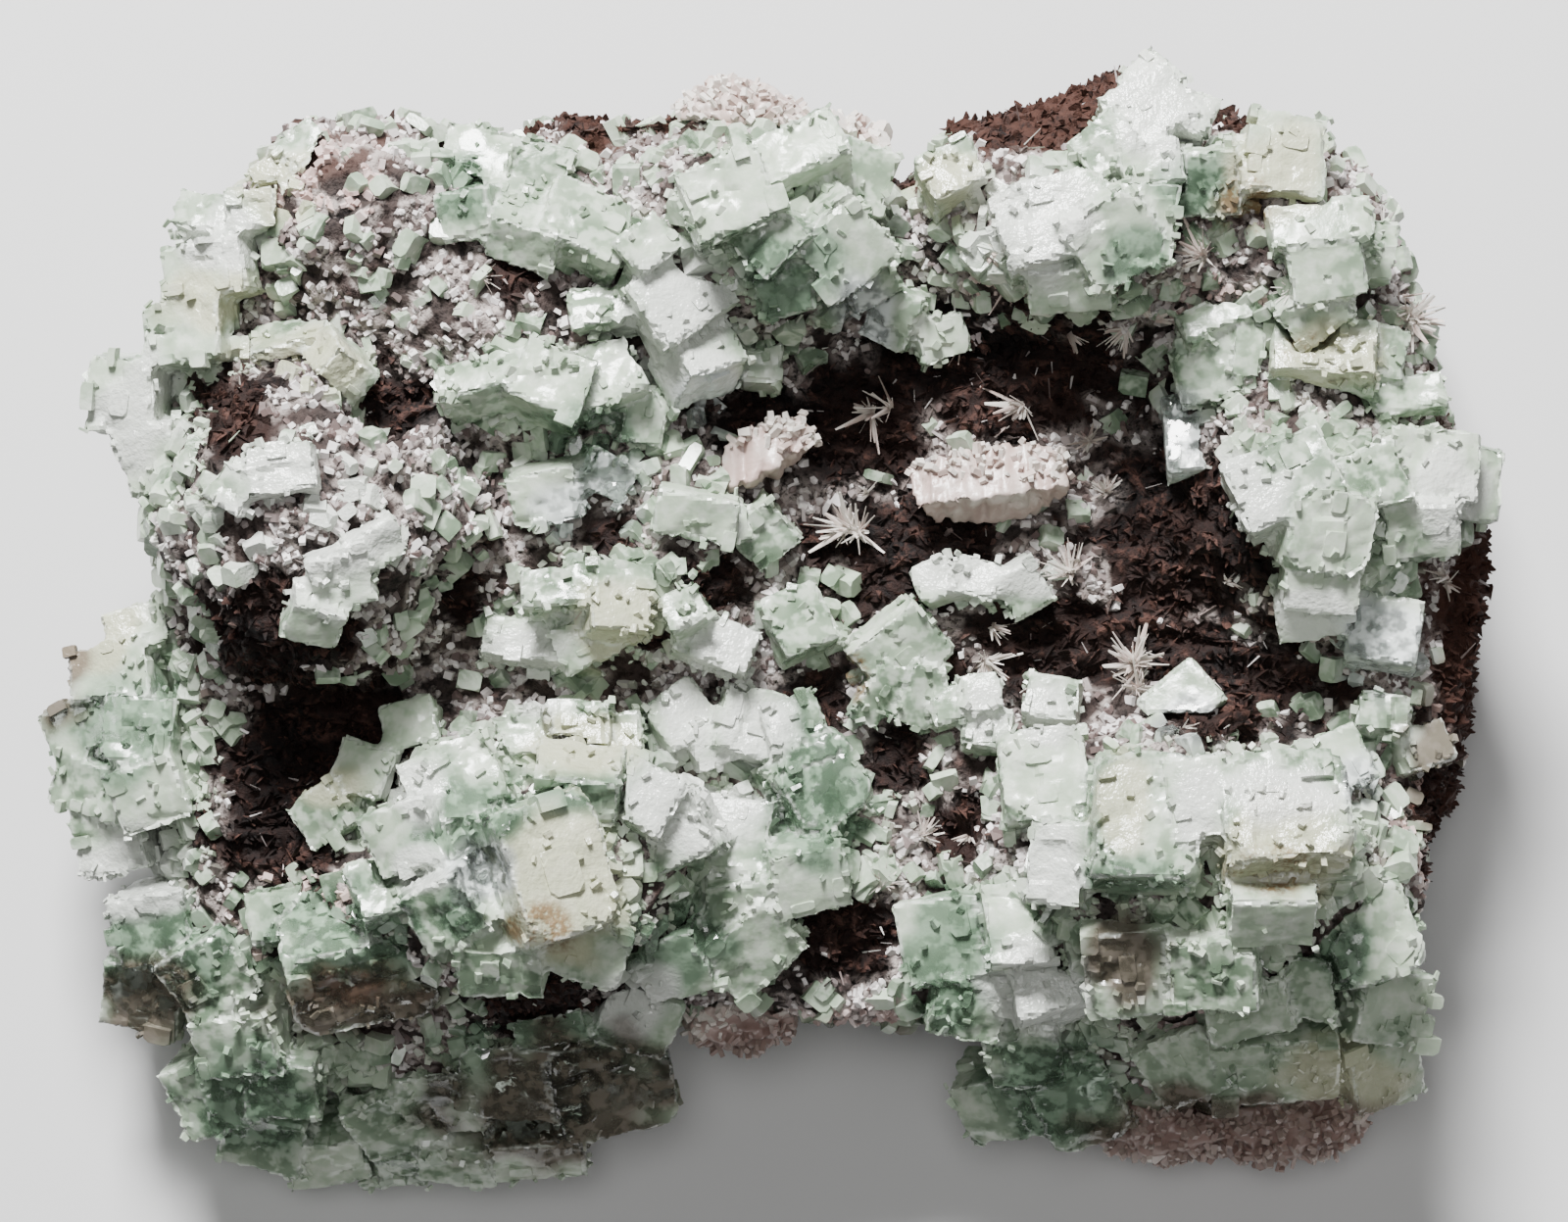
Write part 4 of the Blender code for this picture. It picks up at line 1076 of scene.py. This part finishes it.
def facing_surface(node):
    """The visible flat faces of a solid, with the way of their longest edge and their room."""
    bm = flat_faces(node)
    tints = {face: chance(face.index, index_of(node) + 1) for face in bm.faces}
    hidden = [
        face for face in bm.faces
        if face.calc_area() < FACE_AT_LEAST or face.normal.z < UNDER_COSINE
    ]
    bmesh.ops.delete(bm, geom=hidden, context="FACES")
    ways = [way_of(face) for face in bm.faces]
    rooms = [math.sqrt(face.calc_area()) for face in bm.faces]
    kept = [float(tints[face]) for face in bm.faces]
    mesh = mesh_from(bm, node + "_faces")
    keep_way(mesh, ways, "FACE")
    keep_number(mesh, "room", rooms, "FACE")
    keep_number(mesh, "here", np.ones(len(rooms)), "FACE")
    keep_number(mesh, "tint", kept, "FACE")
    return mesh


def sugar_surface():
    """All visible crystal faces in one mesh, for the tiny crystals that frost them."""
    bm = bmesh.new()
    for node in GROWN_NODES:
        bm.from_mesh(NODES[node].data)
    bmesh.ops.remove_doubles(bm, verts=bm.verts, dist=WELD)
    under = [face for face in bm.faces if face.normal.z < UNDER_COSINE]
    bmesh.ops.delete(bm, geom=under, context="FACES")
    long = [edge for edge in bm.edges if edge.calc_length() > LONG_EDGE]
    bmesh.ops.subdivide_edges(bm, edges=long, cuts=3, use_grid_fill=True)
    mesh = mesh_from(bm, "sugar_faces")
    points = points_of(mesh)
    keep_number(mesh, "here", fade(noise_at(points, SUGAR_PITCH) - SUGAR_START, SUGAR_WIDTH))
    keep_number(mesh, "room", np.full(len(points), MM))
    keep_way(mesh, [noise.random_unit_vector() for point in points])
    return mesh


GROWN_NODES = [node for node in nodes_named("apophyllite") if node not in CLEAN_NODES]
for node in GROWN_NODES:
    grow(facing_surface(node), node.replace("apophyllite", "steps"), "plate", {
        **STEP_VALUES, "Seed": index_of(node) * 10,
    }, APOPHYLLITE)
noise.seed_set(5)
grow(sugar_surface(), "sugar_crystals", "grain", {
    "Per square metre": 0.50e6, "Where": "here", "Seed": 9,
    "Smallest": (0.25, 0.25, 0.3), "Largest": (1.1, 0.9, 1.1), "Tilt": (1.5, 1.5, 3.1),
}, APOPHYLLITE)

# %% [markdown]
# ## Crust, druse and rock flakes
#
# The same recipe covers the fine rock. Crust is thousands of crude grains and beads, druse
# is small square crystals among the large ones, the dark hollow bristles with short shards
# of basalt, and a few single needles lie on it.


# %% Grains on the rock
ACROSS = (1.0, 0.0, 0.0)


def rock_surface(way=None):
    """A copy of the fine rock on which the recipe's sizes are millimetres."""
    mesh = rock_mesh.copy()
    keep_number(mesh, "room", np.full(len(mesh.vertices), MM))
    keep_way(mesh, [way or noise.random_unit_vector() for vertex in mesh.vertices])
    return mesh


noise.seed_set(7)
grow(rock_surface(), "crust_grains", "grain", {
    "Per square metre": 0.9e6, "Where": "crust", "Seed": 1,
    "Smallest": (0.3, 0.3, 0.4), "Largest": (1.3, 1.1, 1.6), "Tilt": (0.9, 0.9, 3.1),
}, CRUST)
grow(rock_surface(), "crust_beads", "bead", {
    "Per square metre": 0.7e6, "Where": "crust", "Seed": 8,
    "Smallest": (0.3, 0.3, 0.3), "Largest": (1.1, 1.0, 0.9), "Tilt": (0.9, 0.9, 3.1),
}, CRUST)
grow(rock_surface(), "mint_druse", "step", {
    "Per square metre": 0.30e6, "Where": "druse", "Seed": 2,
    "Smallest": (0.7, 0.7, 0.9), "Largest": (3.6, 3.0, 3.2), "Tilt": (1.3, 1.3, 3.1),
}, APOPHYLLITE)
grow(rock_surface(), "white_druse", "step", {
    "Per square metre": 0.12e6, "Where": "crust", "Seed": 3,
    "Smallest": (0.9, 0.8, 1.2), "Largest": (3.2, 2.2, 3.0), "Tilt": (1.4, 1.4, 3.1),
}, APOPHYLLITE)
grow(rock_surface(ACROSS), "basalt_flakes", "shard", {
    "Per square metre": 1.0e6, "Where": "flaky", "Seed": 4,
    "Smallest": (0.5, 0.3, 0.3), "Largest": (2.6, 1.0, 1.1), "Tilt": (0.6, 0.6, 1.2),
}, BASALT)
grow(rock_surface(), "loose_needles", "needle", {
    "Per square metre": 0.04e6, "Where": "sparse", "Seed": 14,
    "Smallest": (0.15, 0.12, 0.5), "Largest": (0.45, 0.3, 2.6), "Tilt": (1.3, 1.3, 3.1),
}, CRUST)

# %% [markdown]
# ## Needle sprays and fans
#
# A spray is a burst of needles from one foot. A small dome at each foot is the surface, and
# the recipe stands needles on it. The eight large sprays are as long as their solids reach,
# and small tufts stand where the photograph shows them on the rock.

# %% Sprays
DOME_RADIUS = 0.45 * MM
SPRAY_LEAN, SPRAY_UP = 0.9, 0.9
SPRAY_FOOT = 0.4 * MM
SPRAY_SHORTEST = 0.75
SPRAY_SPREADS = (0.25, 0.4, 0.6)
TUFT_LEAN, TUFT_UP = 1.3, 0.4
TUFT_SPREADS = (0.2, 0.3, 0.5)
TUFTS = (
    (9, 20.3, 3.5), (8.5, 12, 3.5), (24.5, 21, 3), (31.2, 17.3, 2.6), (20.5, -5, 3), (36, -8, 3.4),
    (44, -7, 2.6), (29, 28.5, 3), (35, 29, 3.2), (61, 39, 3.4), (63, 32, 4), (66.5, 29, 3.4),
    (43, 36, 3), (67, 3, 4), (58.5, -17, 2.6), (14, -2, 2.6), (21, -1.5, 2.4), (16.5, 3, 2.6),
    (26, -7, 2.4), (40.5, -12, 2.6), (47, -14, 2.6), (6, 8, 2.6), (-19, 2, 2.4), (14, -23, 3),
    (10, -28, 2.6), (19, -23, 2.6), (3, -27, 2.8), (65, 15, 3), (2, 3, 2.4), (52, 33, 2.6),
    (33, 12, 2.2), (45, 3, 2.2), (18, 27, 2.6), (-31, 34, 2.2), (-27, 25, 2.2),
)
rock_tree = BVHTree.FromPolygons(
    [vertex.co for vertex in rock_mesh.vertices],
    [polygon.vertices for polygon in rock_mesh.polygons],
)


def foot_on_rock(x, y):
    """Where the line of sight through a plan place meets the rock, and the way out of it."""
    aim = Vector((x * MM, y * MM, PLAN_LEVEL - EYE.z)).normalized()
    place, normal, index, far = rock_tree.ray_cast(EYE, aim)
    return place, normal


def dome(bm, centre, up, radius, spread):
    """Adds the top of a small sphere, turned to look along up. A small spread makes a brush."""
    turn = up.to_track_quat("Z", "Y").to_matrix().to_4x4()
    made = bmesh.ops.create_icosphere(bm, subdivisions=2, radius=radius)
    faces = {face for vertex in made["verts"] for face in vertex.link_faces}
    low = [face for face in faces if face.calc_center_median().z < radius * (1.0 - spread)]
    bmesh.ops.delete(bm, geom=low, context="FACES")
    left = [vertex for vertex in made["verts"] if vertex.is_valid]
    bmesh.ops.transform(bm, matrix=Matrix.Translation(centre) @ turn, verts=left)


def spray_surface(feet):
    """All the small domes in one mesh. A narrow brush has its needles closer together."""
    bm = bmesh.new()
    sizes = []
    shares = []
    for centre, up, reach, spread in feet:
        before = len(bm.faces)
        dome(bm, centre, up, DOME_RADIUS, spread)
        sizes += [reach] * (len(bm.faces) - before)
        shares += [min(2.0, 0.5 / spread)] * (len(bm.faces) - before)
    mesh = mesh_from(bm, "spray_feet")
    keep_number(mesh, "room", sizes, "FACE")
    keep_number(mesh, "here", shares, "FACE")
    keep_way(mesh, [ACROSS] * len(sizes), "FACE")
    return mesh


def leaning(draw, most, up):
    """A way with a random lean, at most so far to each side."""
    return Vector((draw.uniform(-most, most), draw.uniform(-most, most), up))


def spray_feet():
    """Two close feet for each large spray and one for each tuft."""
    feet = []
    draw = random.Random(11)
    for node in nodes_named("needle_spray"):
        low, high = (Vector(corner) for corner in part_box(node))
        reach = high.z - low.z
        for turn in range(2):
            lean = leaning(draw, SPRAY_LEAN, SPRAY_UP).normalized()
            foot = Vector(((low.x + high.x) / 2, (low.y + high.y) / 2, low.z + SPRAY_FOOT))
            foot += leaning(draw, 1, 0) * MM
            length = reach * draw.uniform(SPRAY_SHORTEST, 1.0)
            feet.append((foot, lean, length, draw.choice(SPRAY_SPREADS)))
    for x, y, reach in TUFTS:
        place, normal = foot_on_rock(x, y)
        if place is None:
            continue
        lean = normal + leaning(draw, TUFT_LEAN, TUFT_UP)
        feet.append((place, lean.normalized(), reach * MM, draw.choice(TUFT_SPREADS)))
    return feet


sprays = grow(spray_surface(spray_feet()), "needle_sprays", "needle", {
    "Per square metre": 4.6e7, "Where": "here", "Seed": 5,
    "Smallest": (0.05, 0.03, 0.25), "Largest": (0.20, 0.08, 0.95), "Tilt": (0.4, 0.4, 3.1),
}, STILBITE)
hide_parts(*nodes_named("needle_spray"))

# %% [markdown]
# ## Fans and lumps of stilbite
#
# The fans are sheaves of pearly blades that end in a rough edge, so their fine copies are
# fluted across and broken at the top. The lumps are rounded heaps of tiny grains, and the
# pink one at the rim carries small blocks as well.

# %% Fans and lumps
FLUTE_PITCH = Vector((1.0, 6.0, 6.0))
FLUTE_DEPTH = 0.9
LUMP_PITCH = Vector((3.2, 3.2, 3.2))
LUMP_DEPTH = 1.5
STILBITE_VOXEL = 0.4 * MM
FAN_REACH = 9.0 * MM
FAN_ROUGH = 0.6 * MM
ROUGHEN_BIAS, ROUGHEN_MOST = 0.3, 1.2
LEAST_UP = 0.3


def roughen(mesh, pitch, depth):
    """Moves each point of a mesh inward by noise of the given pitch."""
    points = points_of(mesh)
    spots = [Vector(a / (b * MM) for a, b in zip(point, pitch)) for point in points]
    shift = np.array([noise.fractal(spot, 0.8, 2.2, 4) for spot in spots])
    inward = np.clip(shift + ROUGHEN_BIAS, 0, ROUGHEN_MOST) * depth * MM
    move_points(mesh, points - normals_of(mesh) * inward[:, None])


def make_stilbite():
    for node in nodes_named("stilbite"):
        mesh = voxel_copy(node, STILBITE_VOXEL)
        if "fan" in node:
            roughen(mesh, FLUTE_PITCH, FLUTE_DEPTH)
        else:
            roughen(mesh, LUMP_PITCH, LUMP_DEPTH)
        mesh.shade_smooth()
        keep_tones(mesh)
        piece = finish_piece(mesh, node.replace("stilbite", "pearly"), STILBITE)
        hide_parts(node)


def stilbite_surface(smooth):
    """The upper faces of the lumps, and only the far halves of the fans.

    Pieces whose names end in a word of smooth are left out.
    """
    bm = bmesh.new()
    for node in nodes_named("stilbite"):
        if not node.endswith(smooth):
            bm.from_mesh(NODES[node].data)
    bmesh.ops.remove_doubles(bm, verts=bm.verts, dist=WELD)
    bmesh.ops.subdivide_edges(bm, edges=bm.edges, cuts=3, use_grid_fill=True)
    mesh = mesh_from(bm, "stilbite_faces")
    boxes = [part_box(node) for node in NODE_NAMES if "fan" in node]
    middles = [(Vector(low) + Vector(high)) / 2 for low, high in boxes]
    upward = []
    for polygon in mesh.polygons:
        near = [middle for middle in middles if (middle - polygon.center).length < FAN_REACH]
        low_on_fan = near and polygon.center.y < near[0].y + FAN_ROUGH
        upward.append(0.0 if low_on_fan else max(0.0, polygon.normal.z + LEAST_UP))
    keep_number(mesh, "here", upward, "FACE")
    keep_number(mesh, "room", np.full(len(upward), MM), "FACE")
    keep_way(mesh, [ACROSS] * len(upward), "FACE")
    return mesh


make_stilbite()
grow(stilbite_surface(()), "stilbite_grains", "grain", {
    "Per square metre": 0.9e6, "Where": "here", "Seed": 6,
    "Smallest": (0.3, 0.3, 0.4), "Largest": (1.1, 0.9, 1.6), "Tilt": (0.8, 0.8, 3.1),
}, STILBITE)
grow(stilbite_surface(("foot", "fan", "fan_left", "dome")), "stilbite_blocks", "step", {
    "Per square metre": 0.12e6, "Where": "here", "Seed": 16,
    "Smallest": (0.9, 0.9, 1.5), "Largest": (3.2, 2.6, 3.6), "Tilt": (1.2, 1.2, 3.1),
}, STILBITE)

# %% [markdown]
# ## The studio
#
# A plain floor, one strong light from the far side and a little to the left, where the
# photograph's light comes from, and two weak ones that keep the shadows from going black.


# %% Floor and lights
FLOOR_HALF = 1.5
FLOOR_DROP = 0.1 * MM
FLOOR_GREY = (0.62, 0.62, 0.62)
WORLD_WHITE = (1.0, 0.98, 0.96, 1.0)
WORLD_STRENGTH = 0.08


def make_floor():
    bm = bmesh.new()
    bmesh.ops.create_grid(bm, x_segments=1, y_segments=1, size=FLOOR_HALF)
    floor = object_from(mesh_from(bm, "floor"), "studio_floor")
    floor.location.z = -FLOOR_DROP
    material, bench = new_material("pale_floor")
    finish_material(bench, bench.shader({"Base Color": FLOOR_GREY, "Roughness": 0.8}))
    floor.data.materials.append(material)


Lamp = namedtuple("Lamp", "name place size watts")
LAMPS = (
    Lamp("window_light", Vector((-0.13, 0.62, 0.58)), 0.24, 31.0),
    Lamp("fill_light", Vector((0.60, -0.35, 0.70)), 0.7, 1.0),
    Lamp("top_light", Vector((-0.05, 0.1, 1.1)), 0.4, 3.5),
)


def make_lamps():
    for lamp in LAMPS:
        light = bpy.data.lights.new(lamp.name, "AREA")
        light.size = lamp.size
        light.energy = lamp.watts
        seat = link(bpy.data.objects.new(lamp.name, light))
        seat.location = lamp.place
        seat.rotation_euler = lamp.place.to_track_quat("Z", "Y").to_euler()
    world = bpy.data.worlds.new("studio")
    world.use_nodes = True
    background = world.node_tree.nodes["Background"]
    background.inputs["Color"].default_value = WORLD_WHITE
    background.inputs["Strength"].default_value = WORLD_STRENGTH
    bpy.context.scene.world = world


make_floor()
make_lamps()
print("studio ready")

# %% Clear the forms away and finish
for form in FORMS.values():
    bpy.data.objects.remove(form)
